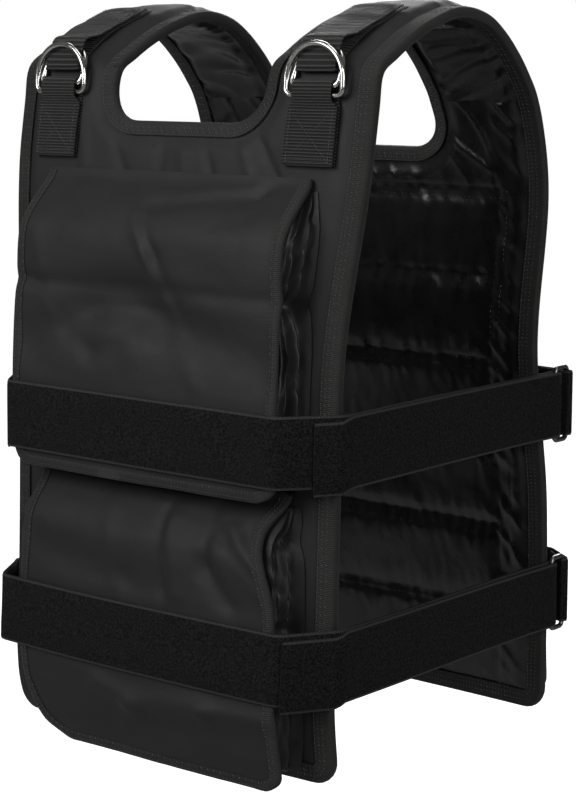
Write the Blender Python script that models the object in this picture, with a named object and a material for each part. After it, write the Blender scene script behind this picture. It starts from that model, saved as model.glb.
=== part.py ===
"""A padded weighted vest: two bound panels joined over the shoulders, pouch banks under cover
flaps, hook-and-loop belts doubled through wire rings at the sides, and shoulder webbing that
is threaded through a pair of D-rings on each side.

Metres, +Z up. +X is the wearer's left, -Y the front. The origin lies between the shoulders,
at the underside of the pads' top, half way from front to back.

Nearly every piece is placed in the vest's own coordinates: x across, s along the spine (the
line of a side edge, from the front hem up over the shoulder and down to the back hem) and d
outward from the middle of the cloth."""

import math

import bpy
import numpy as np
from mathutils import Vector
from mathutils.geometry import delaunay_2d_cdt

# Body: where the side edges run
FRONT_REACH = 0.125
BACK_REACH = 0.121
FRONT_DROP = 0.540
BACK_DROP = 0.547
ARCH_TOP = 0.008
ARCH_RISE = 0.062
HALF_WIDTH = 0.160
SHOULDER_HALF = 0.173
FLARE_START = -0.255
FLARE_END = -0.085

# (reach share, drop share) of each level of the front, from the hem up to the shoulder seam
FRONT_SPINE = (
    (1.024, 1.000),
    (1.064, 0.893),
    (1.040, 0.785),
    (1.016, 0.630),
    (1.000, 0.478),
    (0.952, 0.341),
    (0.880, 0.204),
    (0.816, 0.111),
    (0.776, 0.063),
)
# (reach share, share of the arch's rise below its top) over the shoulder, front to back
ARCH_SPINE = (
    (-0.640, 0.484),
    (-0.464, 0.290),
    (-0.248, 0.113),
    (0.000, 0.000),
    (0.240, 0.065),
    (0.413, 0.242),
    (0.579, 0.516),
    (0.702, 0.790),
)
# (reach share, drop share) of each level of the back, from the shoulder seam to the hem
BACK_SPINE = (
    (0.785, 0.102),
    (0.860, 0.146),
    (0.950, 0.229),
    (0.983, 0.311),
    (1.000, 0.472),
    (1.074, 0.581),
    (1.140, 0.682),
    (1.165, 0.841),
    (1.165, 1.000),
)

# Panels and shoulder pads
PANEL_BULGE = 0.004
PANEL_THICK = 0.011
EDGE_THICK = 0.005
PAD_THICK = 0.014
PAD_CROWN = 0.012
SWELL = 0.014
SHOULDER_BLEND = 0.040
CORNER_RADIUS = 0.016
NECK_HALF = 0.078
NECK_RADIUS = 0.030
FRONT_NECK = -0.074
BACK_NECK = -0.098
QUILT_TOP = -0.127
QUILT_PITCH = 0.068
QUILT_DEPTH = 0.0030
SEAM_GAP = 0.0004

# (share of the way over the shoulder, share of the pad's crown)
CROWN = (
    (0.00, 0.02),
    (0.045, 0.18),
    (0.09, 0.37),
    (0.14, 0.46),
    (0.20, 0.44),
    (0.32, 0.29),
    (0.44, 0.18),
    (0.56, 0.18),
    (0.68, 0.29),
    (0.80, 0.40),
    (0.90, 0.38),
    (1.00, 0.33),
)

# Binding tape folded over every edge
BIND_WIDTH = 0.009
TAPE_THICK = 0.001
TAPE_GAP = 0.0005

# Pouch banks and their cover flaps
BANK_HALF = 0.140
BANK_DEPTH = 0.027
BANK_GAP = 0.0010
FLAP_THICK = 0.0024
FLAP_HALF = 0.133
FLAP_GAP = 0.0005
UPPER_BANK_TOP = -0.118
UPPER_BANK_BOTTOM = -0.316
UPPER_HEM = -0.335
LOWER_BANK_TOP = -0.341
FRONT_BANK_BOTTOM = -0.534
FRONT_LOWER_HEM = -0.551
BACK_BANK_BOTTOM = -0.562
BACK_LOWER_HEM = -0.580
HEM_DROOP = 0.06
SEAM_ABOVE_BANK = 0.008
LOWER_SEAM_ABOVE_BANK = 0.010

# (share of the bank's half width, share of its depth) along a gathered side gusset
GUSSET = (
    (1.000, 0.00),
    (0.965, 0.17),
    (1.000, 0.34),
    (0.955, 0.52),
    (0.985, 0.68),
    (0.945, 0.86),
    (0.930, 1.00),
)

# (share of the height from the bank's top, share of its depth, share of its width)
UPPER_BANK = (
    (0.00, 0.10, 0.970),
    (0.06, 0.42, 0.985),
    (0.13, 0.78, 1.000),
    (0.21, 1.00, 1.000),
    (0.34, 0.98, 0.985),
    (0.39, 0.90, 0.960),
    (0.44, 0.98, 0.985),
    (0.56, 1.00, 1.000),
    (0.70, 1.00, 1.000),
    (0.80, 0.99, 1.000),
    (0.90, 0.96, 0.990),
    (0.97, 0.75, 0.970),
    (1.00, 0.45, 0.950),
)
LOWER_BANK = (
    (0.00, 0.10, 0.960),
    (0.06, 0.42, 0.965),
    (0.12, 0.76, 0.955),
    (0.20, 1.00, 0.985),
    (0.34, 1.00, 0.995),
    (0.48, 1.00, 1.000),
    (0.62, 1.00, 1.000),
    (0.74, 1.00, 1.000),
    (0.84, 0.99, 1.000),
    (0.92, 0.94, 0.985),
    (0.98, 0.72, 0.965),
    (1.00, 0.45, 0.945),
)
# (share of the flap's length from its seam, shares of its half width on the right and left)
UPPER_FLAP = (
    (0.00, 0.985, 0.970),
    (0.30, 0.990, 0.985),
    (0.60, 1.000, 0.990),
    (0.90, 1.000, 0.985),
    (0.97, 0.985, 0.970),
    (1.00, 0.945, 0.930),
)
LOWER_FLAP = (
    (0.00, 0.960, 0.930),
    (0.16, 0.880, 0.880),
    (0.40, 1.000, 0.910),
    (0.70, 1.030, 0.910),
    (0.86, 1.045, 0.850),
    (0.95, 1.050, 0.740),
    (1.00, 1.010, 0.560),
)

# Belts
BELT_WIDTH = 0.052
BELT_THICK = 0.0026
BELT_GAP = 0.0005
UPPER_BELT = -0.296
LOWER_BELT = -0.450
BELT_CORNER = 0.009
BELT_ROOM = 0.0008
EDGE_ROOM = 0.0036
OVERLAP_DROP = 0.005
BACK_LOOP = 0.026
LOOP_CLOSE = 0.6
# Share of the way from the panel's edge to the flap's corner where a front belt's free end lies
UPPER_FREE_END = 0.45
LOWER_FREE_END = 0.95
FAR_FREE_END = 0.55

# Rectangular wire rings at the sides
RING_X = HALF_WIDTH + 0.009
RING_FRONT_BAR = 0.138
RING_SPAN = 0.016
RING_WIRE = 0.004
RING_CLEAR = 0.001
RING_CORNER = 0.0035

# Shoulder webbing and D-rings
WEBBING_X = (NECK_HALF + SHOULDER_HALF) / 2 + 0.001
WEBBING_WIDTH = 0.044
WEBBING_IN_RING = 0.0352
WEBBING_THICK = 0.002
WEBBING_GAP = 0.0005
LAYER_GAP = 0.0003
RING_ROOM = 0.0007
PATCH_BOTTOM = -0.101
PATCH_TOP = -0.061
D_WIRE = 0.0043
D_INNER = 0.0374
D_CLEAR = 0.0004
D_SIDE = 0.0105
D_CORNER = 0.0045
# Share of a D-ring's height above which its bow crosses the webbing
CROSSING = 0.50
FRONT_D_BAR = -0.0515
REAR_D_BAR = -0.0450
FRONT_D_TILT = 18.0
FOLD_LEVEL = -0.0290
BOW_ROOM = 0.0015
TAIL_END = 0.34
TAIL_DOWN = 0.024
BEND_ROOM = 0.0055

COLOURS = {
    "shell cloth": ((0.022, 0.022, 0.024), 0.62, 0.0),
    "lining": ((0.014, 0.014, 0.016), 0.30, 0.0),
    "tape": ((0.030, 0.030, 0.028), 0.75, 0.0),
    "gusset cloth": ((0.016, 0.016, 0.018), 0.38, 0.0),
    "webbing": ((0.026, 0.026, 0.026), 0.70, 0.0),
    "belt pile": ((0.012, 0.012, 0.012), 0.95, 0.0),
    "nickel": ((0.72, 0.71, 0.68), 0.18, 1.0),
    "dark wire": ((0.20, 0.20, 0.21), 0.30, 1.0),
}


def clear_scene():
    for obj in list(bpy.data.objects):
        bpy.data.objects.remove(obj, do_unlink=True)


def material(name):
    """One Principled material for each kind of cloth or metal."""
    found = bpy.data.materials.get(name)
    if found:
        return found
    colour, roughness, metallic = COLOURS[name]
    made = bpy.data.materials.new(name)
    made.use_nodes = True
    shader = made.node_tree.nodes["Principled BSDF"]
    shader.inputs["Base Color"].default_value = (*colour, 1.0)
    shader.inputs["Roughness"].default_value = roughness
    shader.inputs["Metallic"].default_value = metallic
    made.diffuse_color = (*colour, 1.0)
    return made


def smooth_step(t):
    t = min(max(t, 0.0), 1.0)
    return t * t * (3.0 - 2.0 * t)


def read(table, at, column=1):
    """A table's column at this place, by straight lines between its rows."""
    return float(np.interp(at, [row[0] for row in table], [row[column] for row in table]))


def smooth_curve(points, steps):
    """Points on the Catmull-Rom curve through these ones."""
    ends = [2 * points[0] - points[1], *points, 2 * points[-1] - points[-2]]
    found = []
    for a, b, c, d in zip(ends, ends[1:], ends[2:], ends[3:]):
        for t in np.linspace(0.0, 1.0, steps, endpoint=False):
            square = 2 * a - 5 * b + 4 * c - d
            cube = 3 * b - a - 3 * c + d
            found.append(0.5 * (2 * b + (c - a) * t + square * t**2 + cube * t**3))
    found.append(points[-1])
    return np.array(found)


# The spine

SPINE_STEPS = 24


def spine_rows():
    front = [(-reach * FRONT_REACH, -drop * FRONT_DROP) for reach, drop in FRONT_SPINE]
    arch = [
        (reach * (FRONT_REACH if reach < 0 else BACK_REACH), ARCH_TOP - below * ARCH_RISE)
        for reach, below in ARCH_SPINE
    ]
    back = [(reach * BACK_REACH, -drop * BACK_DROP) for reach, drop in BACK_SPINE]
    return [np.array(row) for row in front + arch + back]


SPINE = smooth_curve(spine_rows(), SPINE_STEPS)
SPINE_S = np.concatenate([[0.0], np.cumsum(np.linalg.norm(np.diff(SPINE, axis=0), axis=1))])
SPINE_TANGENT = np.gradient(SPINE, SPINE_S, axis=0)
SPINE_LENGTH = SPINE_S[-1]
FRONT_SEAM = SPINE_S[(len(FRONT_SPINE) - 1) * SPINE_STEPS]
BACK_SEAM = SPINE_S[(len(FRONT_SPINE) + len(ARCH_SPINE)) * SPINE_STEPS]


def spine_point(s):
    return np.array([np.interp(s, SPINE_S, SPINE[:, i]) for i in (0, 1)])


def spine_normal(s):
    """The outward normal (y, z) of the cloth at this place along the spine."""
    ty, tz = (np.interp(s, SPINE_S, SPINE_TANGENT[:, i]) for i in (0, 1))
    return np.array([-tz, ty]) / math.hypot(ty, tz)


def half_width(z):
    flare = smooth_step((z - FLARE_START) / (FLARE_END - FLARE_START))
    return HALF_WIDTH + (SHOULDER_HALF - HALF_WIDTH) * flare


PAD_MIDDLE = (NECK_HALF + SHOULDER_HALF) / 2
PAD_HALF = (SHOULDER_HALF - NECK_HALF) / 2


def shoulder_share(s):
    """0 on the panels below the neck, 1 on the shoulder pads."""
    if s < FRONT_SEAM:
        return smooth_step(1 - (FRONT_SEAM - s) / SHOULDER_BLEND)
    if s > BACK_SEAM:
        return smooth_step(1 - (s - BACK_SEAM) / SHOULDER_BLEND)
    return 1.0


def way_over(s):
    return (s - FRONT_SEAM) / (BACK_SEAM - FRONT_SEAM)


def rise(x, s):
    """How far the middle of the cloth stands out from the spine: the panel's bulge or the pad's crown."""
    share = shoulder_share(s)
    width = half_width(spine_point(s)[1])
    bulge = PANEL_BULGE * (1 - (x / width) ** 2)
    across = min(abs(abs(x) - PAD_MIDDLE) / (PAD_HALF - BIND_WIDTH), 1.0)
    crown = PAD_CROWN * read(CROWN, min(max(way_over(s), 0.0), 1.0)) * (1 - across**2)
    return (1 - share) * bulge + share * crown


def place(x, s, d):
    """The point d outward from the middle of the cloth."""
    y, z = spine_point(s) + spine_normal(s) * (rise(x, s) + d)
    return (x, y, z)


class Panel:
    """The front or the back: v runs up from its hem, along the spine."""

    def __init__(self, front):
        self.front = front
        self.top = FRONT_SEAM if front else SPINE_LENGTH - BACK_SEAM
        self.neck = FRONT_NECK if front else BACK_NECK
        levels = np.linspace(0.0, self.top, 200)
        self.levels = levels
        self.heights = np.array([spine_point(self.s(v))[1] for v in levels])

    def s(self, v):
        return v if self.front else SPINE_LENGTH - v

    def v(self, z):
        return float(np.interp(z, self.heights, self.levels))

    def z(self, v):
        return float(np.interp(v, self.levels, self.heights))

    def edge_distance(self, x, v):
        """How far inside the bound edges this place is."""
        side = half_width(self.z(v)) - abs(x)
        across = abs(x) - (NECK_HALF - NECK_RADIUS)
        above = self.v(self.neck) + NECK_RADIUS - v
        if across > 0 and above > 0:
            neck = math.hypot(across, above) - NECK_RADIUS
        else:
            neck = (above if above > 0 else across) - NECK_RADIUS
        return min(side, v, neck)

    def thickness(self, x, v):
        share = smooth_step((self.edge_distance(x, v) - BIND_WIDTH) / SWELL)
        return EDGE_THICK + (PANEL_THICK - EDGE_THICK) * share

    def on_face(self, x, v, d):
        """The point d outside the panel's outer face, at its full thickness."""
        return place(x, self.s(v), PANEL_THICK / 2 + d)

    def rim(self):
        """(x, v) along the bound side edges and hem, from the left seam to the right one."""
        down = (self.top - 2 * CORNER_RADIUS) * np.linspace(0, 1, 10) ** 1.4
        sides = [(half_width(self.z(v)), v) for v in self.top - down]
        corner = [
            (
                half_width(self.z(0)) - CORNER_RADIUS * (1 - math.cos(a)),
                CORNER_RADIUS * (1 - math.sin(a)),
            )
            for a in np.linspace(0, math.pi / 2, 4)
        ]
        hem = [(x, 0.0) for x in np.linspace(corner[-1][0], 0.0, 4)[1:]]
        half = sides + corner + hem
        return [(-x, v) for x, v in half] + half[-2::-1]

    def neckline(self):
        """(x, v) round the neck, from the left seam to the right one."""
        bottom = self.v(self.neck)
        half = [(NECK_HALF, v) for v in np.linspace(self.top, bottom + NECK_RADIUS, 4)[:-1]]
        half += [
            (
                NECK_HALF - NECK_RADIUS * (1 - math.cos(a)),
                bottom + NECK_RADIUS * (1 - math.sin(a)),
            )
            for a in np.linspace(0, math.pi / 2, 6)
        ]
        half += [(x, bottom) for x in np.linspace(NECK_HALF - NECK_RADIUS, 0.0, 3)[1:]]
        return [(-x, v) for x, v in half] + half[-2::-1]


def inset(path, distance, side):
    """The path moved sideways, to its left (side 1) or right (side -1); its ends keep their v."""
    found = []
    for i, (x, v) in enumerate(path):
        before, after = path[max(i - 1, 0)], path[min(i + 1, len(path) - 1)]
        tx, tv = after[0] - before[0], after[1] - before[1]
        if i in (0, len(path) - 1):
            tx = 0.0
        length = math.hypot(tx, tv)
        found.append((x - side * distance * tv / length, v + side * distance * tx / length))
    return found


# Closed solids

def finish_mesh(name, points, faces, kind, smooth=True):
    """One object from points and faces, turned to face out."""
    mesh = bpy.data.meshes.new(name)
    mesh.from_pydata([tuple(p) for p in points], [], faces)
    mesh.validate()
    mesh.update()
    volume = 0.0
    mesh.calc_loop_triangles()
    for triangle in mesh.loop_triangles:
        a, b, c = (mesh.vertices[i].co for i in triangle.vertices)
        volume += a.dot(b.cross(c))
    if volume < 0:
        mesh.flip_normals()
    if smooth:
        mesh.shade_smooth()
        mesh.set_sharp_from_angle(angle=math.radians(50))
    mesh.materials.append(material(kind))
    obj = bpy.data.objects.new(name, mesh)
    bpy.context.scene.collection.objects.link(obj)
    return obj


def slab(name, outer, inner, kind):
    """The solid between two grids of points with as many rows and columns."""
    rows, columns = len(outer), len(outer[0])
    points = [p for grid in (outer, inner) for row in grid for p in row]

    def at(layer, i, j):
        return (layer * rows + i) * columns + j

    faces = []
    for i in range(rows - 1):
        for j in range(columns - 1):
            faces.append((at(0, i, j), at(0, i, j + 1), at(0, i + 1, j + 1), at(0, i + 1, j)))
            faces.append((at(1, i, j), at(1, i + 1, j), at(1, i + 1, j + 1), at(1, i, j + 1)))
    for i in range(rows - 1):
        for j, turn in ((0, 1), (columns - 1, -1)):
            faces.append((at(0, i, j), at(0, i + 1, j), at(1, i + 1, j), at(1, i, j))[::turn])
    for j in range(columns - 1):
        for i, turn in ((0, -1), (rows - 1, 1)):
            faces.append((at(0, i, j), at(0, i, j + 1), at(1, i, j + 1), at(1, i, j))[::turn])
    return finish_mesh(name, points, faces, kind)


def sweep(name, sections, closed, kind):
    """The solid through a row of sections with as many corners, joined end to end or capped."""
    corners = len(sections[0])
    points = [p for section in sections for p in section]
    faces = []
    count = len(sections)
    for i in range(count if closed else count - 1):
        for j in range(corners):
            a, b = i * corners, (i + 1) % count * corners
            faces.append((a + j, a + (j + 1) % corners, b + (j + 1) % corners, b + j))
    if not closed:
        faces.append(tuple(range(corners))[::-1])
        faces.append(tuple((count - 1) * corners + j for j in range(corners)))
    return finish_mesh(name, points, faces, kind)


def wire_loop(name, path, plane_normal, radius, sides, kind):
    """A closed ring of round wire along a flat path."""
    sections = []
    normal = Vector(plane_normal).normalized()
    for i, point in enumerate(path):
        tangent = Vector(path[(i + 1) % len(path)]) - Vector(path[i - 1])
        side = tangent.cross(normal).normalized()
        sections.append(
            [
                Vector(point) + radius * (math.cos(a) * side + math.sin(a) * normal)
                for a in np.linspace(0, 2 * math.pi, sides, endpoint=False)
            ]
        )
    return sweep(name, sections, True, kind)


def inside(polygon, x, y):
    found = False
    for (ax, ay), (bx, by) in zip(polygon, polygon[1:] + polygon[:1]):
        if (ay > y) != (by > y) and x < ax + (y - ay) / (by - ay) * (bx - ax):
            found = not found
    return found


def pad_columns():
    """x across a shoulder, from the neck edge to the arm edge, as on the pads and the panels' tops."""
    width = SHOULDER_HALF - NECK_HALF
    steps = [0.0, BIND_WIDTH, BIND_WIDTH + SWELL]
    middle = list(np.linspace(BIND_WIDTH + SWELL, width - BIND_WIDTH - SWELL, 5)[1:-1])
    return [NECK_HALF + step for step in steps + middle + [width - step for step in steps[::-1]]]


def panel_plan(panel):
    """The panel's flat plan (x, v): points, triangles and its outline as point numbers."""
    rim, neck = panel.rim(), panel.neckline()
    shoulder = pad_columns()[1:-1]
    left_seam, right_seam = [[(turn * x, panel.top) for x in shoulder] for turn in (-1, 1)]
    outline = rim + right_seam[::-1] + neck[::-1] + left_seam
    rings = [inset(rim, BIND_WIDTH, 1), inset(neck, BIND_WIDTH, -1)]
    points, number = [], {}

    def add(point):
        key = (round(point[0], 6), round(point[1], 6))
        if key not in number:
            number[key] = len(points)
            points.append(point)
        return number[key]

    loop = [add(p) for p in outline]
    edges = list(zip(loop, loop[1:] + loop[:1]))
    for ring in rings:
        numbers = [add(p) for p in ring]
        edges += list(zip(numbers, numbers[1:]))
    swollen = BIND_WIDTH + SWELL
    for point in inset(rim, swollen, 1)[1:-1] + inset(neck, swollen, -1)[1:-1]:
        if panel.edge_distance(*point) > swollen * 0.98:
            add(point)
    for v in quilt_rows(panel):
        for x in np.linspace(-0.75, 0.75, 7) * HALF_WIDTH:
            if panel.edge_distance(x, v) > swollen * 1.25:
                add((x, v))
    result = delaunay_2d_cdt([Vector(p) for p in points], edges, [], 0, 1e-7)
    plan = [(p.x, p.y) for p in result[0]]
    triangles = []
    for face in result[2]:
        x, v = (sum(plan[i][k] for i in face) / 3 for k in (0, 1))
        if inside(outline, x, v):
            triangles.append(tuple(face))
    return plan, triangles


def quilt_rows(panel):
    """v of every quilting seam and of the middle of every channel between them."""
    rows = []
    z = QUILT_TOP + QUILT_PITCH / 2
    while z > -(FRONT_DROP if panel.front else BACK_DROP):
        rows.append(panel.v(z))
        z -= QUILT_PITCH / 2
    return rows


def quilt_groove(panel, x, v):
    """How deep the lining is drawn in by the quilting at this place."""
    turns = (QUILT_TOP - panel.z(v)) / QUILT_PITCH
    share = 1 - 2 * abs(turns - round(turns))
    inner = smooth_step((panel.edge_distance(x, v) - BIND_WIDTH) / SWELL)
    return QUILT_DEPTH * share * inner if turns > -0.5 else 0.0


def build_panel(name, panel):
    plan, triangles = panel_plan(panel)
    outer, inner = [], []
    for x, v in plan:
        half = panel.thickness(x, v) / 2
        outer.append(place(x, panel.s(v), half))
        inner.append(place(x, panel.s(v), quilt_groove(panel, x, v) - half))
    count = len(plan)
    faces = list(triangles) + [tuple(count + i for i in face[::-1]) for face in triangles]
    sides = {(face[i], face[(i + 1) % 3]) for face in triangles for i in range(3)}
    for a, b in sides:
        if (b, a) not in sides:
            faces.append((b, a, count + a, count + b))
    return finish_mesh(name, outer + inner, faces, "shell cloth")


# Shoulder pads and binding

def pad_thickness(x, s):
    """A shoulder's thickness: the panels' at its seams, fuller on top, thin at its bound edges."""
    edge = min(SHOULDER_HALF - abs(x), abs(x) - NECK_HALF)
    over = math.sin(math.pi * min(max(way_over(s), 0.0), 1.0))
    full = PANEL_THICK + (PAD_THICK - PANEL_THICK) * over
    return EDGE_THICK + (full - EDGE_THICK) * smooth_step((edge - BIND_WIDTH) / SWELL)


def pad_stations():
    return [FRONT_SEAM + row[0] * (BACK_SEAM - FRONT_SEAM) for row in CROWN]


def on_pad(x, s, d):
    return place(x, s, pad_thickness(x, s) / 2 + d)


def build_pad(name, side):
    stations = pad_stations()
    stations[0] += SEAM_GAP
    stations[-1] -= SEAM_GAP
    columns = [side * x for x in pad_columns()]
    outer = [[place(x, s, pad_thickness(x, s) / 2) for x in columns] for s in stations]
    inner = [[place(x, s, -pad_thickness(x, s) / 2) for x in columns] for s in stations]
    return slab(name, outer, inner, "shell cloth")


def tape_section(edge, within, s_edge, s_within):
    """The U of tape round a bound edge: edge and within are x at the edge and at the tape's lip."""
    points = []
    heart = np.array(place(edge, s_edge, 0.0))
    lip = np.array(place(within, s_within, 0.0))
    outward = (heart - lip) / np.linalg.norm(heart - lip)
    for thick in (TAPE_GAP, TAPE_GAP + TAPE_THICK):
        d = EDGE_THICK / 2 + thick
        row = [
            np.array(place(within, s_within, d)),
            np.array(place(edge, s_edge, d)) + outward * thick,
            np.array(place(edge, s_edge, -d)) + outward * thick,
            np.array(place(within, s_within, -d)),
        ]
        points += row if thick == TAPE_GAP else row[::-1]
    return points


def panel_tape(panel, path, side):
    lips = inset(path, BIND_WIDTH - TAPE_GAP, side)
    return [
        tape_section(x, lip_x, panel.s(v), panel.s(lip_v)) for (x, v), (lip_x, lip_v) in zip(path, lips)
    ]


def pad_tape(edge, lip):
    return [tape_section(edge, lip, s, s) for s in pad_stations()[1:-1]]


def build_binding(name, front, back, front_path, back_path, side, edge):
    """One endless tape: along a front path, over the left shoulder, along the back, and home."""
    lip = edge + (BIND_WIDTH - TAPE_GAP) * (-1 if edge == SHOULDER_HALF else 1)
    sections = panel_tape(front, front_path, side)
    sections += pad_tape(edge, lip)
    sections += panel_tape(back, back_path, side)[::-1]
    sections += pad_tape(-edge, -lip)[::-1]
    return sweep(name, sections, True, "tape")


# Pouch banks and flaps

def build_bank(name, panel, top, bottom, table):
    """A bank of pouches: a full front and gathered gussets at both sides."""
    half = [(BANK_HALF * x, BANK_DEPTH * d) for x, d in GUSSET]
    front = [(x, BANK_DEPTH) for x in np.linspace(half[-1][0], -half[-1][0], 5)[1:-1]]
    back = [(x, 0.0) for x in np.linspace(-half[0][0], half[0][0], 5)[1:-1]]
    outline = half + front + [(-x, d) for x, d in half[::-1]] + back
    sections = []
    for down, depth, width in table:
        v = panel.v(top + (bottom - top) * down)
        sections.append([panel.on_face(x * width, v, BANK_GAP + d * depth) for x, d in outline])
    return sweep(name, sections, False, "gusset cloth")


def flap_line(panel, top, bottom, table, seam, hem):
    """(v, d) of the middle of a flap: from its seam over the bank's front to its hem."""
    front = [(panel.v(top + (bottom - top) * row[0]), BANK_GAP + BANK_DEPTH * row[1]) for row in table]
    full = max(d for _, d in front)
    line = [(panel.v(seam), BANK_GAP)]
    line += front[: max(i for i, row in enumerate(front) if row[1] == full) + 1]
    start = line[-1][0]
    for t in (0.3, 0.6, 0.8, 1.0):
        line.append((start + (panel.v(hem) - start) * t, full * (1 - HEM_DROOP * t**2)))
    offset = FLAP_GAP + FLAP_THICK / 2
    middle = []
    for i, (v, d) in enumerate(line):
        before, after = line[max(i - 1, 0)], line[min(i + 1, len(line) - 1)]
        tv, td = after[0] - before[0], after[1] - before[1]
        length = math.hypot(tv, td)
        middle.append((v + offset * td / length, d - offset * tv / length, -tv / length, td / length))
    return middle


def build_flap(name, panel, line, edges):
    """A cover flap of cloth that follows its line, with its side edges from the table."""
    lengths = [0.0]
    for a, b in zip(line, line[1:]):
        lengths.append(lengths[-1] + math.hypot(b[0] - a[0], b[1] - a[1]))
    outer, inner = [], []
    for (v, d, out_d, out_v), length in zip(line, lengths):
        share = length / lengths[-1]
        right = FLAP_HALF * read(edges, share, 1)
        left = FLAP_HALF * read(edges, share, 2)
        columns = np.linspace(-left, right, 7)
        for grid, half in ((outer, FLAP_THICK / 2), (inner, -FLAP_THICK / 2)):
            grid.append([panel.on_face(x, v + out_v * half, d + out_d * half) for x in columns])
    return slab(name, outer, inner, "shell cloth")


# Belts

def rounded(points, radius, steps):
    """A plan path with its inner corners rounded off."""
    found = [np.array(points[0])]
    for a, b, c in zip(points, points[1:], points[2:]):
        a, b, c = (np.array(p, float) for p in (a, b, c))
        before, after = (a - b) / np.linalg.norm(a - b), (c - b) / np.linalg.norm(c - b)
        turn = math.acos(max(-1.0, min(1.0, float(-before @ after))))
        most = 0.45 * min(np.linalg.norm(a - b), np.linalg.norm(c - b))
        reach = min(radius * math.tan(turn / 2), most)
        start, end = b + before * reach, b + after * reach
        for t in np.linspace(0, 1, steps):
            found.append((1 - t) ** 2 * start + 2 * t * (1 - t) * b + t**2 * end)
    found.append(np.array(points[-1]))
    return found


def half_turn(centre, radius, start, end, steps):
    """Plan points round a bar, from one angle to another, in degrees."""
    angles = np.radians(np.linspace(start, end, steps))
    return [np.array(centre) + radius * np.array([math.cos(a), math.sin(a)]) for a in angles]


def moved_out(path, distance):
    """A plan path moved to the right of its direction."""
    found = []
    for i, point in enumerate(path):
        tangent = path[min(i + 1, len(path) - 1)] - path[max(i - 1, 0)]
        tangent = tangent / np.linalg.norm(tangent)
        found.append(point + distance * np.array([tangent[1], -tangent[0]]))
    return found


def stack_depth():
    """From the panel's face out to the middle of a belt that lies on a flap."""
    return BANK_GAP + BANK_DEPTH + FLAP_GAP + FLAP_THICK + BELT_ROOM + BELT_THICK / 2


def belt_plan(panel, z, widest):
    """(x, y) of a belt's inner layer on the right half at this level: middle, flap corner, panel edge."""
    v = panel.v(z)
    corner = FLAP_HALF * widest + BELT_GAP + BELT_THICK / 2
    level = [panel.on_face(corner * t, v, stack_depth())[:2] for t in (0.0, 0.33, 0.66, 1.0)]
    edge_x = half_width(z) + TAPE_GAP + TAPE_THICK + BELT_GAP + BELT_THICK / 2 + EDGE_ROOM
    edge = (edge_x, spine_point(panel.s(v))[0])
    return [*level, edge]


WRAP = RING_WIRE / 2 + BELT_GAP + BELT_THICK / 2
LAYER = BELT_THICK + BELT_GAP


def front_belt_half(panel, z, widest, free_end):
    """(x, y, share of the overlap's drop) from the middle of the front to a free end."""
    level = belt_plan(panel, z, widest)
    bar = np.array([RING_X, RING_FRONT_BAR])
    inner = rounded([*level, (bar[0] - WRAP, bar[1])], BELT_CORNER, 5)
    turn = half_turn(bar, WRAP, 180, 0, 7)
    corner, edge = np.array(level[-2]), np.array(level[-1])
    meet = np.array([edge[0] + LAYER, bar[1] - RING_SPAN * 2.5])
    back = [np.array([bar[0] + WRAP, bar[1]]), meet, edge]
    tip = edge + (corner - edge) * min(free_end, 0.999)
    over = moved_out(rounded([meet - [LAYER, 0], edge, tip], BELT_CORNER, 5), -LAYER)
    outer = [*back[:2], *over[1:]]
    path = [(*p, 0.0) for p in inner[:-1]]
    path += [(*p, 0.0) for p in turn]
    for i, p in enumerate(outer[1:]):
        path.append((*p, (i + 1) / (len(outer) - 1)))
    return path


def back_belt_half(panel, z, widest):
    """(x, y, 0) from the middle of the back, round the rings' rear bar, to the sewn end."""
    level = belt_plan(panel, z, widest)[:-1]
    bar = np.array([RING_X, RING_FRONT_BAR + RING_SPAN])
    corner = np.array(level[-1])
    slant = corner - bar
    angle = math.degrees(math.atan2(slant[1], slant[0]))
    turn = half_turn(bar, WRAP, angle - 90, angle - 270, 7)
    along = slant / np.linalg.norm(slant)
    gap_side = np.array([-along[1], along[0]])
    start = turn[-1] + along * BACK_LOOP * 0.4 - gap_side * (WRAP - LAYER) * LOOP_CLOSE
    end = start + along * BACK_LOOP * 0.6
    outer = rounded([*level, turn[0]], BELT_CORNER, 5)
    return [(*p, 0.0) for p in [*outer[:-1], *turn, start, end]]


def build_belt(name, right, left, level):
    """A belt from its two halves, each a function of height that gives the plan path."""
    outer, inner = [], []
    for up in (-0.5, 0.0, 0.5):
        z = level + up * BELT_WIDTH
        path = [(-x, y, drop) for x, y, drop in left(z)[:0:-1]] + right(z)
        flat = [np.array(p[:2]) for p in path]
        for grid, half in ((outer, BELT_THICK / 2), (inner, -BELT_THICK / 2)):
            row = moved_out(flat, half)
            grid.append([(p[0], p[1], z - OVERLAP_DROP * drop) for p, (_, _, drop) in zip(row, path)])
    return slab(name, outer, inner, "belt pile")


def build_side_ring(name, side, level):
    """A rectangular ring of wire whose two upright bars hold the front and the back belt."""
    half_height = BELT_WIDTH / 2 + RING_CLEAR + RING_WIRE / 2
    middle = RING_FRONT_BAR + RING_SPAN / 2
    path = []
    for up, along, start in ((1, 1, 0), (1, -1, 90), (-1, -1, 180), (-1, 1, 270)):
        y = middle + along * (RING_SPAN / 2 - RING_CORNER)
        z = level + up * (half_height - RING_CORNER)
        for dy, dz in half_turn((0.0, 0.0), RING_CORNER, start, start + 90, 3):
            path.append((side * RING_X, y + dy, z + dz))
    return wire_loop(name, path, (1, 0, 0), RING_WIRE / 2, 6, "dark wire")


# D-rings and shoulder webbing

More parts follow.
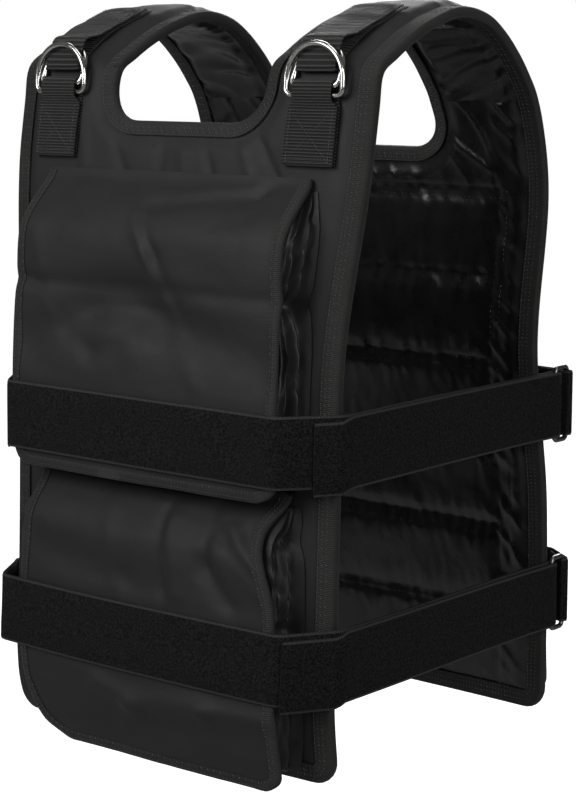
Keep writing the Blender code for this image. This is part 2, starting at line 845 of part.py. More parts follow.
BAR_DEPTH = WEBBING_GAP + WEBBING_THICK + LAYER_GAP + D_WIRE / 2
FRONT_LAYER = BAR_DEPTH + D_WIRE / 2 + LAYER_GAP + WEBBING_THICK / 2
D_INNER_LARGE = D_INNER + 2 * (D_WIRE + D_CLEAR)
RING_REACH = D_SIDE + D_INNER / 2 + D_WIRE
WEBBING_SPAN = 0.020
BACK_LAYER = WEBBING_GAP + WEBBING_THICK / 2
SECOND_LAYER = BACK_LAYER + WEBBING_THICK + 2 * LAYER_GAP


def webbing_line(s, d):
    """The (y, z) of a place over the middle of the shoulder webbing."""
    return np.array(on_pad(WEBBING_X, s, d))[1:]


def bar_frame(panel):
    """The rear D-ring's bar in (y, z), with the cloth's normal and its way up there."""
    bar = panel.v(REAR_D_BAR)
    normal = spine_normal(bar)
    return webbing_line(bar, BAR_DEPTH), normal, np.array([normal[1], -normal[0]])


def ring_lean(panel):
    """The slope that keeps the rear D-ring's bow clear of the strap behind it."""
    bar, normal, up = bar_frame(panel)
    slopes = []
    for s in panel.v(REAR_D_BAR) + np.linspace(CROSSING, 1.0, 6) * RING_REACH:
        offset = webbing_line(s, BAR_DEPTH + RING_ROOM) - bar
        slopes.append(math.atan2(offset @ normal, offset @ up))
    return max(slopes)


def over_rear_ring(panel, s):
    """Where webbing passes over the rear D-ring: its distance from the face, and its way up from the bar."""
    bar, normal, up = bar_frame(panel)
    lean = ring_lean(panel)
    plane = normal * math.cos(lean) - up * math.sin(lean)
    offset = bar - webbing_line(s, 0.0)
    distance = offset @ plane / (spine_normal(s) @ plane)
    depth = max(FRONT_LAYER, distance + FRONT_LAYER - BAR_DEPTH + RING_ROOM)
    return depth, float(np.linalg.norm(webbing_line(s, depth) - bar))


def build_d_ring(name, panel, side, level, tilt, inner_width):
    """A D of round wire: its straight bar in the webbing's loop, its bow up."""
    s = panel.v(level)
    origin = Vector(panel.on_face(side * WEBBING_X, s, BAR_DEPTH))
    ny, nz = spine_normal(s)
    normal, up = Vector((0, ny, nz)), Vector((0, nz, -ny))
    lean = ring_lean(panel) + math.radians(tilt)
    rise_way = up * math.cos(lean) + normal * math.sin(lean)
    half = (inner_width + D_WIRE) / 2
    corner = [
        (half - D_CORNER * (1 - math.sin(a)), D_CORNER * (1 - math.cos(a)))
        for a in np.linspace(0, math.pi / 2, 4)
    ]
    bow = [(half * math.cos(a), D_SIDE + half * math.sin(a)) for a in np.linspace(0, math.pi, 12)]
    outline = corner + bow + [(-a, b) for a, b in corner[::-1]]
    path = [origin + Vector((1, 0, 0)) * a + rise_way * b for a, b in outline]
    return wire_loop(name, path, Vector((1, 0, 0)).cross(rise_way), D_WIRE / 2, 6, "nickel")


def level_share(s, centre):
    """0 where the rings hold the webbing straight across, 1 where it follows the cloth under it."""
    return smooth_step((abs(s - centre) - WEBBING_SPAN) / WEBBING_SPAN)


def ribbon(name, side, centre, line, widths, on_surface):
    """Webbing along a line of (s, d), as wide at each point as widths says, level round the centre."""
    outer, inner = [], []
    for i, (s, d) in enumerate(line):
        before, after = line[max(i - 1, 0)], line[min(i + 1, len(line) - 1)]
        ts, td = after[0] - before[0], after[1] - before[1]
        length = math.hypot(ts, td)
        out_s, out_d = -td / length * WEBBING_THICK / 2, ts / length * WEBBING_THICK / 2
        middle = side * WEBBING_X
        follow = level_share(s, centre)
        for grid, turn in ((outer, 1), (inner, -1)):
            row = []
            for t in (-0.5, -0.34, 0.0, 0.34, 0.5):
                across = widths[i] * t
                _, y, z = on_surface(middle + across * follow, s + turn * out_s, d + turn * out_d)
                row.append((middle + across, y, z))
            grid.append(row)
    return slab(name, outer, inner, "webbing")


def arc(centre_s, centre_d, radius, start, end, steps):
    """(s, d) round a circle; 0 degrees points up along s and 90 outward."""
    angles = np.radians(np.linspace(start, end, steps))
    return [(centre_s + radius * math.cos(a), centre_d + radius * math.sin(a)) for a in angles]


def ring_width(share):
    """The webbing's width: full away from the rings, drawn in where it passes through them."""
    return WEBBING_WIDTH + (WEBBING_IN_RING - WEBBING_WIDTH) * smooth_step(share)


def build_ring_webbing(name, panel, side):
    """The sewn-down webbing below the D-rings, with the loop that holds both bars."""
    bottom, top = panel.v(PATCH_BOTTOM), panel.v(PATCH_TOP)
    upper_bar, lower_bar = panel.v(REAR_D_BAR), panel.v(FRONT_D_BAR)
    turn = (FRONT_LAYER - BACK_LAYER) / 2
    centre = (FRONT_LAYER + BACK_LAYER) / 2
    line = [(s, BACK_LAYER) for s in (bottom, (bottom + top) / 2, top, upper_bar)]
    line += arc(upper_bar, centre, turn, -60, 60, 5)
    line += [(upper_bar, FRONT_LAYER), (lower_bar, FRONT_LAYER)]
    slope = lower_bar - top
    for t in (0.3, 0.55, 0.8):
        share = smooth_step(t)
        line.append((lower_bar - slope * t, FRONT_LAYER + (SECOND_LAYER - FRONT_LAYER) * share))
    line += [(top, SECOND_LAYER), ((bottom + top) / 2, SECOND_LAYER), (bottom, SECOND_LAYER)]
    widths = [ring_width((s - top) / (lower_bar - D_WIRE - top)) for s, _ in line]
    return ribbon(name, side, upper_bar, line, widths, panel.on_face)


def build_shoulder_webbing(name, panel, side):
    """The strap from the pad: down behind the rear D-ring, round it, and back up inside the front one."""
    fold = panel.v(FOLD_LEVEL)
    tip = FRONT_SEAM + TAIL_END * (BACK_SEAM - FRONT_SEAM)
    rising = panel.v(REAR_D_BAR) + RING_REACH * np.linspace(0.3, 1.1, 33)
    clear = float(np.interp(RING_REACH + BOW_ROOM, [over_rear_ring(panel, s)[1] for s in rising], rising))
    stations = [s for s in pad_stations() if clear + BEND_ROOM < s < tip - BEND_ROOM]
    turn = (over_rear_ring(panel, fold)[0] - BACK_LAYER) / 2
    centre = BACK_LAYER + turn
    main = [tip, *stations[::-1], clear, (clear + fold) / 2, fold]
    line = [(s, BACK_LAYER) for s in main]
    line += arc(fold, centre, turn, 240, 120, 5)
    for s in fold + (clear - fold) * np.array([0.3, 0.55, 0.7, 0.85, 1.0]):
        line.append((s, over_rear_ring(panel, s)[0]))
    bow_depth = line[-1][1]
    end = tip - TAIL_DOWN * 0.2
    for s in [*(s for s in stations if s < end - BEND_ROOM), end]:
        left = max(1 - (s - clear) / TAIL_DOWN, 0.0)
        line.append((s, SECOND_LAYER + (bow_depth - SECOND_LAYER) * left**2))
    widths = [ring_width(1 - (s - clear) / TAIL_DOWN) for s, _ in line]
    return ribbon(name, side, panel.v(REAR_D_BAR) + WEBBING_SPAN, line, widths, on_pad)


def build_all():
    clear_scene()
    front, back = Panel(True), Panel(False)
    build_panel("front_panel", front)
    build_panel("back_panel", back)
    build_binding("edge_binding", front, back, front.rim(), back.rim(), 1, SHOULDER_HALF)
    build_binding("neck_binding", front, back, front.neckline(), back.neckline(), -1, NECK_HALF)

    banks = {
        "front_pouches_upper": (front, UPPER_BANK_TOP, UPPER_BANK_BOTTOM, UPPER_BANK),
        "front_pouches_lower": (front, LOWER_BANK_TOP, FRONT_BANK_BOTTOM, LOWER_BANK),
        "back_pouches_upper": (back, UPPER_BANK_TOP, UPPER_BANK_BOTTOM, UPPER_BANK),
        "back_pouches_lower": (back, LOWER_BANK_TOP, BACK_BANK_BOTTOM, LOWER_BANK),
    }
    for name, (panel, top, bottom, table) in banks.items():
        build_bank(name, panel, top, bottom, table)
    flaps = {
        "front_flap_upper": ("front_pouches_upper", SEAM_ABOVE_BANK, UPPER_HEM, UPPER_FLAP),
        "front_flap_lower": ("front_pouches_lower", LOWER_SEAM_ABOVE_BANK, FRONT_LOWER_HEM, LOWER_FLAP),
        "back_flap_upper": ("back_pouches_upper", SEAM_ABOVE_BANK, UPPER_HEM, UPPER_FLAP),
        "back_flap_lower": ("back_pouches_lower", LOWER_SEAM_ABOVE_BANK, BACK_LOWER_HEM, LOWER_FLAP),
    }
    for name, (bank, above, hem, edges) in flaps.items():
        panel, top, bottom, table = banks[bank]
        build_flap(name, panel, flap_line(panel, top, bottom, table, top + above, hem), edges)

    for side, word in ((1, "left"), (-1, "right")):
        build_pad(f"shoulder_pad_{word}", side)
        build_d_ring(f"d_ring_rear_{word}", front, side, REAR_D_BAR, 0.0, D_INNER)
        build_d_ring(f"d_ring_front_{word}", front, side, FRONT_D_BAR, FRONT_D_TILT, D_INNER_LARGE)
        build_ring_webbing(f"ring_webbing_{word}", front, side)
        build_shoulder_webbing(f"shoulder_webbing_{word}", front, side)

    belts = {
        "upper": (UPPER_BELT, UPPER_FREE_END, UPPER_FLAP),
        "lower": (LOWER_BELT, LOWER_FREE_END, LOWER_FLAP),
    }
    for word, (level, free_end, edges) in belts.items():
        wide = max(max(row[1:]) for row in edges)

        def near(z):
            return front_belt_half(front, z, wide, free_end)

        def far(z):
            return front_belt_half(front, z, wide, FAR_FREE_END)

        def behind(z):
            return back_belt_half(back, z, wide)

        build_belt(f"front_belt_{word}", near, far, level)
        build_belt(f"back_belt_{word}", behind, behind, level)
        for side, hand in ((1, "left"), (-1, "right")):
            build_side_ring(f"belt_ring_{word}_{hand}", side, level)


build_all()
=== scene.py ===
"""Looks of a padded weighted vest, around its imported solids.

Each soft piece is rebuilt as fine cloth over the same lines as its solid: x across, s along the
spine from the front hem over the shoulder to the back hem, and d outward from the middle of the
cloth. Folds come from short tables of creases and from seeded noise."""

import math

import bpy
import numpy as np
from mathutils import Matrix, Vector, noise
from mathutils.geometry import delaunay_2d_cdt


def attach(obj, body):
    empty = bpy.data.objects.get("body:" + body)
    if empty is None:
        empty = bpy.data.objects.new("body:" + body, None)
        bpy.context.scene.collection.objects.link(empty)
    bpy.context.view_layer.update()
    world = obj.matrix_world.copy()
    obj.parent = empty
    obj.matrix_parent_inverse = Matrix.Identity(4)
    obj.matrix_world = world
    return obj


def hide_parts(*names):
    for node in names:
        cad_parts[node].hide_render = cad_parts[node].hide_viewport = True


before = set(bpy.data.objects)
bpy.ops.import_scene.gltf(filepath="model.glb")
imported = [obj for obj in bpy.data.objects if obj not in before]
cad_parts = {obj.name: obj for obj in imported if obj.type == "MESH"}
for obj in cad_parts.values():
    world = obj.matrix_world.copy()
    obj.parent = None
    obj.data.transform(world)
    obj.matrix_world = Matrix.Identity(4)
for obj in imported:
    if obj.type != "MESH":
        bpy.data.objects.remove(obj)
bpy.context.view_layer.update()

# Sizes shared with the solids
FRONT_REACH = 0.125
BACK_REACH = 0.121
FRONT_DROP = 0.540
BACK_DROP = 0.547
ARCH_TOP = 0.008
ARCH_RISE = 0.062
HALF_WIDTH = 0.160
SHOULDER_HALF = 0.173
FLARE_START = -0.255
FLARE_END = -0.085
FRONT_SPINE = (
    (1.024, 1.000),
    (1.064, 0.893),
    (1.040, 0.785),
    (1.016, 0.630),
    (1.000, 0.478),
    (0.952, 0.341),
    (0.880, 0.204),
    (0.816, 0.111),
    (0.776, 0.063),
)
ARCH_SPINE = (
    (-0.640, 0.484),
    (-0.464, 0.290),
    (-0.248, 0.113),
    (0.000, 0.000),
    (0.240, 0.065),
    (0.413, 0.242),
    (0.579, 0.516),
    (0.702, 0.790),
)
BACK_SPINE = (
    (0.785, 0.102),
    (0.860, 0.146),
    (0.950, 0.229),
    (0.983, 0.311),
    (1.000, 0.472),
    (1.074, 0.581),
    (1.140, 0.682),
    (1.165, 0.841),
    (1.165, 1.000),
)
PANEL_BULGE = 0.004
PANEL_THICK = 0.011
EDGE_THICK = 0.005
PAD_THICK = 0.014
PAD_CROWN = 0.012
SWELL = 0.014
SHOULDER_BLEND = 0.040
CORNER_RADIUS = 0.016
NECK_HALF = 0.078
NECK_RADIUS = 0.030
FRONT_NECK = -0.074
BACK_NECK = -0.098
QUILT_TOP = -0.127
QUILT_PITCH = 0.068
QUILT_DEPTH = 0.0030
CROWN = (
    (0.00, 0.02),
    (0.045, 0.18),
    (0.09, 0.37),
    (0.14, 0.46),
    (0.20, 0.44),
    (0.32, 0.29),
    (0.44, 0.18),
    (0.56, 0.18),
    (0.68, 0.29),
    (0.80, 0.40),
    (0.90, 0.38),
    (1.00, 0.33),
)
BIND_WIDTH = 0.009
BAND_WIDTH = 0.0125
TAPE_THICK = 0.001
TAPE_GAP = 0.0005
BANK_HALF = 0.140
BANK_DEPTH = 0.027
BANK_GAP = 0.0010
FLAP_THICK = 0.0024
FLAP_HALF = 0.133
FLAP_GAP = 0.0005
UNDER_FLAP = 0.0022
FLAP_CORNER = 0.013
HEM_DROOP = 0.06
BELT_WIDTH = 0.052
BELT_THICK = 0.0026
BELT_GAP = 0.0005
BELT_ROOM = 0.0008
EDGE_ROOM = 0.0036
BELT_CORNER = 0.009
UPPER_BELT = -0.296
LOWER_BELT = -0.450
OVERLAP_DROP = 0.005
BACK_LOOP = 0.026
LOOP_CLOSE = 0.6
RING_OUT = 0.009
RING_FRONT_BAR = 0.138
RING_SPAN = 0.016
RING_WIRE = 0.004
RING_CLEAR = 0.001
RING_CORNER = 0.0035
WEBBING_WIDTH = 0.044
WEBBING_IN_RING = 0.0352
WEBBING_THICK = 0.002
WEBBING_GAP = 0.0005
WEBBING_SPAN = 0.020
LAYER_GAP = 0.0003
RING_ROOM = 0.0007
PATCH_BOTTOM = -0.101
PATCH_TOP = -0.061
D_WIRE = 0.0043
D_INNER = 0.0374
D_CLEAR = 0.0004
D_SIDE = 0.0105
D_CORNER = 0.0045
CROSSING = 0.50
FRONT_D_BAR = -0.0515
REAR_D_BAR = -0.0450
FRONT_D_TILT = 18.0
FOLD_LEVEL = -0.0290
BOW_ROOM = 0.0015
TAIL_END = 0.34
TAIL_DOWN = 0.024
BEND_ROOM = 0.0055

MM = 0.001
FINE = 0.0032

# (share of the bank's height, share of its depth, share of its width)
UPPER_BANK = (
    (0.00, 0.10, 0.970),
    (0.06, 0.42, 0.985),
    (0.13, 0.78, 1.000),
    (0.21, 1.00, 1.000),
    (0.34, 0.98, 0.985),
    (0.39, 0.90, 0.960),
    (0.44, 0.98, 0.985),
    (0.56, 1.00, 1.000),
    (0.70, 1.00, 1.000),
    (0.80, 0.99, 1.000),
    (0.90, 0.96, 0.990),
    (0.97, 0.75, 0.970),
    (1.00, 0.45, 0.950),
)
LOWER_BANK = (
    (0.00, 0.10, 0.960),
    (0.06, 0.42, 0.965),
    (0.12, 0.76, 0.955),
    (0.20, 1.00, 0.985),
    (0.34, 1.00, 0.995),
    (0.48, 1.00, 1.000),
    (0.62, 1.00, 1.000),
    (0.74, 1.00, 1.000),
    (0.84, 0.99, 1.000),
    (0.92, 0.94, 0.985),
    (0.98, 0.72, 0.965),
    (1.00, 0.45, 0.945),
)
GUSSET = (
    (1.000, 0.00),
    (0.965, 0.17),
    (1.000, 0.34),
    (0.955, 0.52),
    (0.985, 0.68),
    (0.945, 0.86),
    (0.930, 1.00),
)
# (share of the flap's length, shares of its half width on the right and left)
UPPER_FLAP = (
    (0.00, 0.985, 0.970),
    (0.30, 0.990, 0.985),
    (0.60, 1.000, 0.990),
    (0.90, 1.000, 0.985),
    (0.97, 0.985, 0.970),
    (1.00, 0.945, 0.930),
)
LOWER_FLAP = (
    (0.00, 0.960, 0.930),
    (0.16, 0.880, 0.880),
    (0.40, 1.000, 0.910),
    (0.70, 1.030, 0.910),
    (0.86, 1.045, 0.850),
    (0.95, 1.050, 0.740),
    (1.00, 1.010, 0.560),
)

# Creases, in mm: x and z of both ends, half width, height (a valley's is negative)
UPPER_CREASES = (
    (-5, -135, 90, -125, 5, -2.2),
    (90, -125, 106, -112, 4, -1.6),
    (20, -128, 84, -118, 5, 1.2),
    (-14, -143, 4, -170, 4, 1.5),
    (4, -170, 22, -204, 4, 1.8),
    (-3, -146, 14, -172, 4, -1.2),
    (14, -172, 34, -204, 5, -1.4),
    (-108, -237, -49, -212, 17, -4.2),
    (-49, -212, -6, -207, 18, -5.2),
    (-6, -207, 27, -217, 19, -5.6),
    (27, -217, 111, -236, 20, -5.8),
    (-74, -233, -50, -243, 8, -1.8),
    (-50, -243, -25, -239, 8, -1.8),
    (30, -218, 60, -260, 9, 1.2),
    (-60, -128, -30, -132, 9, 1.0),
    (-112, -160, -96, -215, 7, 0.9),
    (-128, -192, -104, -197, 5, -1.6),
)
LOWER_CREASES = (
    (64, -350, 69, -388, 8, -3.4),
    (69, -388, 92, -412, 8, -3.6),
    (35, -364, 47, -424, 9, 3.2),
    (23, -358, 32, -424, 6, -2.2),
    (-100, -394, -8, -410, 13, -3.0),
    (-30, -360, -18, -420, 9, 1.2),
    (76, -362, 127, -396, 5, -2.2),
    (90, -360, 128, -390, 4, 1.5),
    (105, -361, 130, -386, 4, -1.8),
    (98, -376, 132, -404, 6, 1.8),
    (-60, -480, -33, -486, 7, 1.6),
    (-33, -486, 1, -497, 8, 3.2),
    (1, -497, 73, -489, 8, 3.6),
    (73, -489, 138, -487, 7, 3.4),
    (-50, -489, 10, -480, 5, -1.2),
    (-104, -500, -70, -535, 9, 1.4),
    (20, -512, 110, -508, 12, -1.6),
)
BACK_UPPER_CREASES = (
    (-90, -130, 20, -124, 6, -2.0),
    (-20, -148, 12, -190, 5, 1.6),
    (60, -150, 34, -196, 6, 1.4),
    (-110, -222, -20, -204, 13, -3.8),
    (-20, -204, 105, -232, 13, -4.2),
    (-60, -240, 0, -246, 8, -1.6),
    (84, -128, 118, -160, 6, 1.2),
)
BACK_LOWER_CREASES = (
    (-70, -352, -62, -410, 8, -3.0),
    (-40, -358, -48, -424, 9, 2.8),
    (30, -356, 46, -418, 8, -2.6),
    (58, -360, 72, -422, 8, 2.4),
    (-30, -404, 60, -410, 12, -2.2),
    (-110, -492, -20, -500, 8, 3.2),
    (-20, -500, 100, -492, 8, 3.0),
    (-60, -528, 80, -522, 13, -1.8),
)
PANEL_CREASES = (
    (26, -88, 38, -116, 4, -1.6),
    (80, -86, 98, -112, 4, -1.8),
    (60, -84, 74, -112, 5, 1.2),
    (-64, -90, -52, -112, 5, -1.2),
    (-14, -84, -16, -112, 5, -1.2),
    (4, -82, 8, -108, 5, 1.0),
    (-104, -70, -96, -104, 6, 1.0),
    (146, -300, 152, -395, 5, 0.8),
)


# Numbers along tables and curves

RIDGE_SHARPNESS = 2.6


def smooth_step(t):
    t = np.clip(t, 0.0, 1.0)
    return t * t * (3.0 - 2.0 * t)


def column(table, at, index=1):
    """A table's column at these places, by straight lines between its rows."""
    return np.interp(at, [row[0] for row in table], [row[index] for row in table])


def smooth_column(table, at, index=1):
    """A table's column at these places, along a smooth curve through its rows."""
    places = np.array([row[0] for row in table])
    points = np.array([[row[0], row[index]] for row in table])
    curve = smooth_curve(list(points), 12)
    order = np.argsort(curve[:, 0], kind="stable")
    return np.interp(np.clip(at, places[0], places[-1]), curve[order, 0], curve[order, 1])


def smooth_curve(points, steps):
    """Points on the Catmull-Rom curve through these ones."""
    ends = [2 * points[0] - points[1], *points, 2 * points[-1] - points[-2]]
    found = []
    for a, b, c, d in zip(ends, ends[1:], ends[2:], ends[3:]):
        for t in np.linspace(0.0, 1.0, steps, endpoint=False):
            square = 2 * a - 5 * b + 4 * c - d
            cube = 3 * b - a - 3 * c + d
            found.append(0.5 * (2 * b + (c - a) * t + square * t**2 + cube * t**3))
    found.append(points[-1])
    return np.array(found)


def along(path):
    """How far along its line each point lies."""
    return np.concatenate([[0], np.cumsum(np.linalg.norm(np.diff(path, axis=0), axis=1))])


def read_at(at, known, rows):
    """What rows say at these places, where known holds the place of each row."""
    return np.stack([np.interp(at, known, values) for values in np.transpose(rows)], axis=-1)


def even_path(path, step):
    """The same line with points at even steps along it."""
    path = np.array(path, float)
    lengths = along(path)
    count = max(int(round(lengths[-1] / step)), 2)
    return read_at(np.linspace(0, lengths[-1], count + 1), lengths, path)


def waver(x, y, wide, tall, seed):
    """Smooth seeded noise from -1 to 1, stretched to wide by tall metres."""
    flat = zip(np.ravel(x) / wide, np.ravel(y) / tall)
    values = [noise.noise(Vector((a, b, seed * 7.31))) for a, b in flat]
    return np.array(values).reshape(np.shape(x))


def ripple(x, y, fold, seed):
    """Soft folds of a size: fold is (wide, tall, height)."""
    wide, tall, height = fold
    return waver(x, y, wide, tall, seed) * height


def ridges(x, y, fold, seed, power=1):
    """Sharp-topped folds of a size, narrower with more power."""
    wide, tall, height = fold
    share = 1.0 - np.clip(np.abs(waver(x, y, wide, tall, seed)) * RIDGE_SHARPNESS, 0.0, 1.0)
    return share**power * height


def creases(table, x, z):
    """The height of a table's creases at these places."""
    height = np.zeros(np.shape(x))
    for x0, z0, x1, z1, width, peak in np.array(table, float) * MM:
        dx, dz = x1 - x0, z1 - z0
        length = math.hypot(dx, dz)
        t = ((x - x0) * dx + (z - z0) * dz) / length**2
        across = ((x - x0) * dz - (z - z0) * dx) / length
        past = np.maximum(np.abs(t - 0.5) - 0.5, 0.0) * length
        height += peak * np.exp(-((across / width) ** 2) - (past / (1.4 * width)) ** 2)
    return height


# The spine and the cloth along it

SPINE_STEPS = 24


def spine_rows():
    front = [(-reach * FRONT_REACH, -drop * FRONT_DROP) for reach, drop in FRONT_SPINE]
    arch = [
        (reach * (FRONT_REACH if reach < 0 else BACK_REACH), ARCH_TOP - below * ARCH_RISE)
        for reach, below in ARCH_SPINE
    ]
    back = [(reach * BACK_REACH, -drop * BACK_DROP) for reach, drop in BACK_SPINE]
    return [np.array(row) for row in front + arch + back]


SPINE = smooth_curve(spine_rows(), SPINE_STEPS)
SPINE_S = along(SPINE)
SPINE_TANGENT = np.gradient(SPINE, SPINE_S, axis=0)
SPINE_LENGTH = SPINE_S[-1]
FRONT_SEAM = SPINE_S[(len(FRONT_SPINE) - 1) * SPINE_STEPS]
BACK_SEAM = SPINE_S[(len(FRONT_SPINE) + len(ARCH_SPINE)) * SPINE_STEPS]
PAD_MIDDLE = (NECK_HALF + SHOULDER_HALF) / 2
PAD_HALF = (SHOULDER_HALF - NECK_HALF) / 2
WEBBING_X = PAD_MIDDLE + 0.001
RING_X = HALF_WIDTH + RING_OUT


def spine_point(s):
    return read_at(s, SPINE_S, SPINE)


def spine_normal(s):
    """The outward normal (y, z) of the cloth at these places along the spine."""
    ty, tz = (np.interp(s, SPINE_S, SPINE_TANGENT[:, i]) for i in (0, 1))
    return np.stack([-tz, ty], axis=-1) / np.hypot(ty, tz)[..., None]


def half_width(z):
    flare = smooth_step((z - FLARE_START) / (FLARE_END - FLARE_START))
    return HALF_WIDTH + (SHOULDER_HALF - HALF_WIDTH) * flare


def way_over(s):
    return (s - FRONT_SEAM) / (BACK_SEAM - FRONT_SEAM)


def fullness(inside):
    """0 under the binding, 1 where the padding is full, from the distance inside the edge."""
    return smooth_step((inside - BIND_WIDTH) / SWELL)


def padding(full, inside):
    """The thickness of a pad that is full thick away from its edge."""
    return EDGE_THICK + (full - EDGE_THICK) * fullness(inside)


def rise(x, s):
    """How far the middle of the cloth stands out from the spine."""
    past = np.maximum(FRONT_SEAM - s, s - BACK_SEAM)
    share = smooth_step(1 - np.maximum(past, 0.0) / SHOULDER_BLEND)
    width = half_width(spine_point(s)[..., 1])
    bulge = PANEL_BULGE * (1 - (x / width) ** 2)
    across = np.minimum(np.abs(np.abs(x) - PAD_MIDDLE) / (PAD_HALF - BIND_WIDTH), 1.0)
    crown = PAD_CROWN * column(CROWN, np.clip(way_over(s), 0.0, 1.0)) * (1 - across**2)
    return (1 - share) * bulge + share * crown


def place(x, s, d):
    """The points d outward from the middle of the cloth."""
    x, s, d = np.broadcast_arrays(np.asarray(x, float), s, d)
    yz = spine_point(s) + spine_normal(s) * (rise(x, s) + d)[..., None]
    return np.concatenate([x[..., None], yz], axis=-1)


class Panel:
    """The front or the back: v runs up from its hem, along the spine."""

    def __init__(self, front):
        self.front = front
        self.top = FRONT_SEAM if front else SPINE_LENGTH - BACK_SEAM
        self.neck = FRONT_NECK if front else BACK_NECK
        self.levels = np.linspace(0.0, self.top, 400)
        self.heights = spine_point(self.s(self.levels))[:, 1]

    def s(self, v):
        return v if self.front else SPINE_LENGTH - v

    def v(self, z):
        return np.interp(z, self.heights, self.levels)

    def z(self, v):
        return np.interp(v, self.levels, self.heights)

    def edge_distance(self, x, v):
        """How far inside the bound edges these places are."""
        side = half_width(self.z(v)) - np.abs(x)
        across = np.abs(x) - (NECK_HALF - NECK_RADIUS)
        above = self.v(self.neck) + NECK_RADIUS - v
        corner = np.hypot(np.maximum(across, 0), np.maximum(above, 0))
        neck = np.where((across > 0) & (above > 0), corner, np.where(above > 0, above, across))
        return np.minimum(np.minimum(side, v), neck - NECK_RADIUS)

    def thickness(self, x, v):
        return padding(PANEL_THICK, self.edge_distance(x, v))

    def on_face(self, x, v, d):
        """The points d outside the panel's outer face, at its full thickness."""
        return place(x, self.s(np.asarray(v, float)), PANEL_THICK / 2 + d)

    def rim(self):
        """(x, v) along the bound side edges and hem, from the left seam to the right one."""
        levels = np.linspace(self.top, 2 * CORNER_RADIUS, 60)
        sides = [(half_width(self.z(v)), v) for v in levels]
        sides += round_corner(half_width(self.z(0)), 0.0, CORNER_RADIUS, 9)
        return mirrored([*sides, (0.0, 0.0)])

    def neckline(self):
        """(x, v) round the neck, from the left seam to the right one."""
        bottom = float(self.v(self.neck))
        corner = round_corner(NECK_HALF, bottom, NECK_RADIUS, 12)
        return mirrored([(NECK_HALF, self.top), *corner, (0.0, bottom)])


def round_corner(x, v, radius, steps):
    """(x, v) from a side at x round into a bottom at v."""
    angles = np.linspace(0, math.pi / 2, steps)
    return [(x - radius * (1 - math.cos(a)), v + radius * (1 - math.sin(a))) for a in angles]


def mirrored(half):
    """A whole path, at even steps, from its right half."""
    whole = [(-x, v) for x, v in half] + half[-2::-1]
    return even_path(whole, 0.004)


def inset(path, distance, side):
    """The path moved sideways, to its left (side 1) or right (side -1); its ends keep their v."""
    tangent = np.gradient(path, axis=0)
    tangent[[0, -1], 0] = 0.0
    tangent /= np.linalg.norm(tangent, axis=1)[:, None]
    return path + side * distance * np.stack([-tangent[:, 1], tangent[:, 0]], axis=1)


FRONT, BACK = Panel(True), Panel(False)


# Meshes

def add_mesh(name, points, faces, materials, parts=None, cloth=None, sharp=60):
    """One object from points and faces, smooth and turned to face out."""
    mesh = bpy.data.meshes.new(name)
    mesh.from_pydata(np.asarray(points).tolist(), [], [tuple(f) for f in faces])
    mesh.update()
    mesh.calc_loop_triangles()
    corners = np.empty(len(mesh.loop_triangles) * 3, np.int32)
    mesh.loop_triangles.foreach_get("vertices", corners)
    a, b, c = np.asarray(points)[corners.reshape(-1, 3)].transpose(1, 0, 2)
    if np.einsum("ij,ij->i", a, np.cross(b, c)).sum() < 0:
        mesh.flip_normals()
    mesh.shade_smooth()
    mesh.set_sharp_from_angle(angle=math.radians(sharp))
    for material in materials:
        mesh.materials.append(material)
    if parts is not None:
        mesh.polygons.foreach_set("material_index", np.asarray(parts, np.int32))
    if cloth is not None:
        layer = mesh.attributes.new("cloth", "FLOAT_VECTOR", "POINT")
        flat = np.zeros((len(points), 3), np.float32)
        flat[:, :2] = cloth
        layer.data.foreach_set("vector", flat.ravel())
    obj = bpy.data.objects.new(name, mesh)
    bpy.context.scene.collection.objects.link(obj)
    return obj


def grid_quads(rows, columns, wrap_rows=False, wrap_columns=False):
    """Quads over a grid of point numbers."""
    i = np.arange(rows if wrap_rows else rows - 1)[:, None]
    j = np.arange(columns if wrap_columns else columns - 1)[None, :]
    next_i, next_j = (i + 1) % rows, (j + 1) % columns
    corners = [i * columns + j, i * columns + next_j, next_i * columns + next_j]
    corners.append(next_i * columns + j)
    shape = np.broadcast_shapes(*(c.shape for c in corners))
    return np.stack([np.broadcast_to(c, shape) for c in corners], -1).reshape(-1, 4)


def slab(name, outer, inner, materials, cloth=None, parts=None):
    """Cloth between two grids of points, with its raw edge closed."""
    rows, columns = outer.shape[:2]
    count = rows * columns
    top = grid_quads(rows, columns)
    number = np.arange(count).reshape(rows, columns)
    loop = [*number[0], *number[1:, -1], *number[-1, -2::-1], *number[-2:0:-1, 0]]
    loop = np.array(loop)
    after = np.roll(loop, -1)
    rim = np.stack([after, loop, loop + count, after + count], -1)
    faces = np.concatenate([top, top[:, ::-1] + count, rim])
    points = np.concatenate([outer.reshape(-1, 3), inner.reshape(-1, 3)])
    if cloth is not None:
        cloth = np.concatenate([cloth.reshape(-1, 2)] * 2)
    if parts is None:
        parts = np.zeros(len(top), int)
    inner_parts = parts if len(materials) < 2 else np.where(parts > 1, parts, 1)
    kinds = np.concatenate([parts, inner_parts, np.zeros(len(rim), int)])
    return add_mesh(name, points, faces, materials, kinds, cloth)


def tube(name, sections, closed, material, cloth=None, sharp=60):
    """The solid through a row of sections with as many corners."""
    sections = np.asarray(sections)
    count, corners = sections.shape[:2]
    faces = [tuple(f) for f in grid_quads(count, corners, closed, True)]
    if not closed:
        faces.append(tuple(range(corners))[::-1])
        faces.append(tuple((count - 1) * corners + j for j in range(corners)))
    points = sections.reshape(-1, 3)
    return add_mesh(name, points, faces, [material], None, cloth, sharp)


def unit(vectors):
    return vectors / np.maximum(np.linalg.norm(vectors, axis=-1, keepdims=True), 1e-12)


THREAD_LIFT = 0.0003
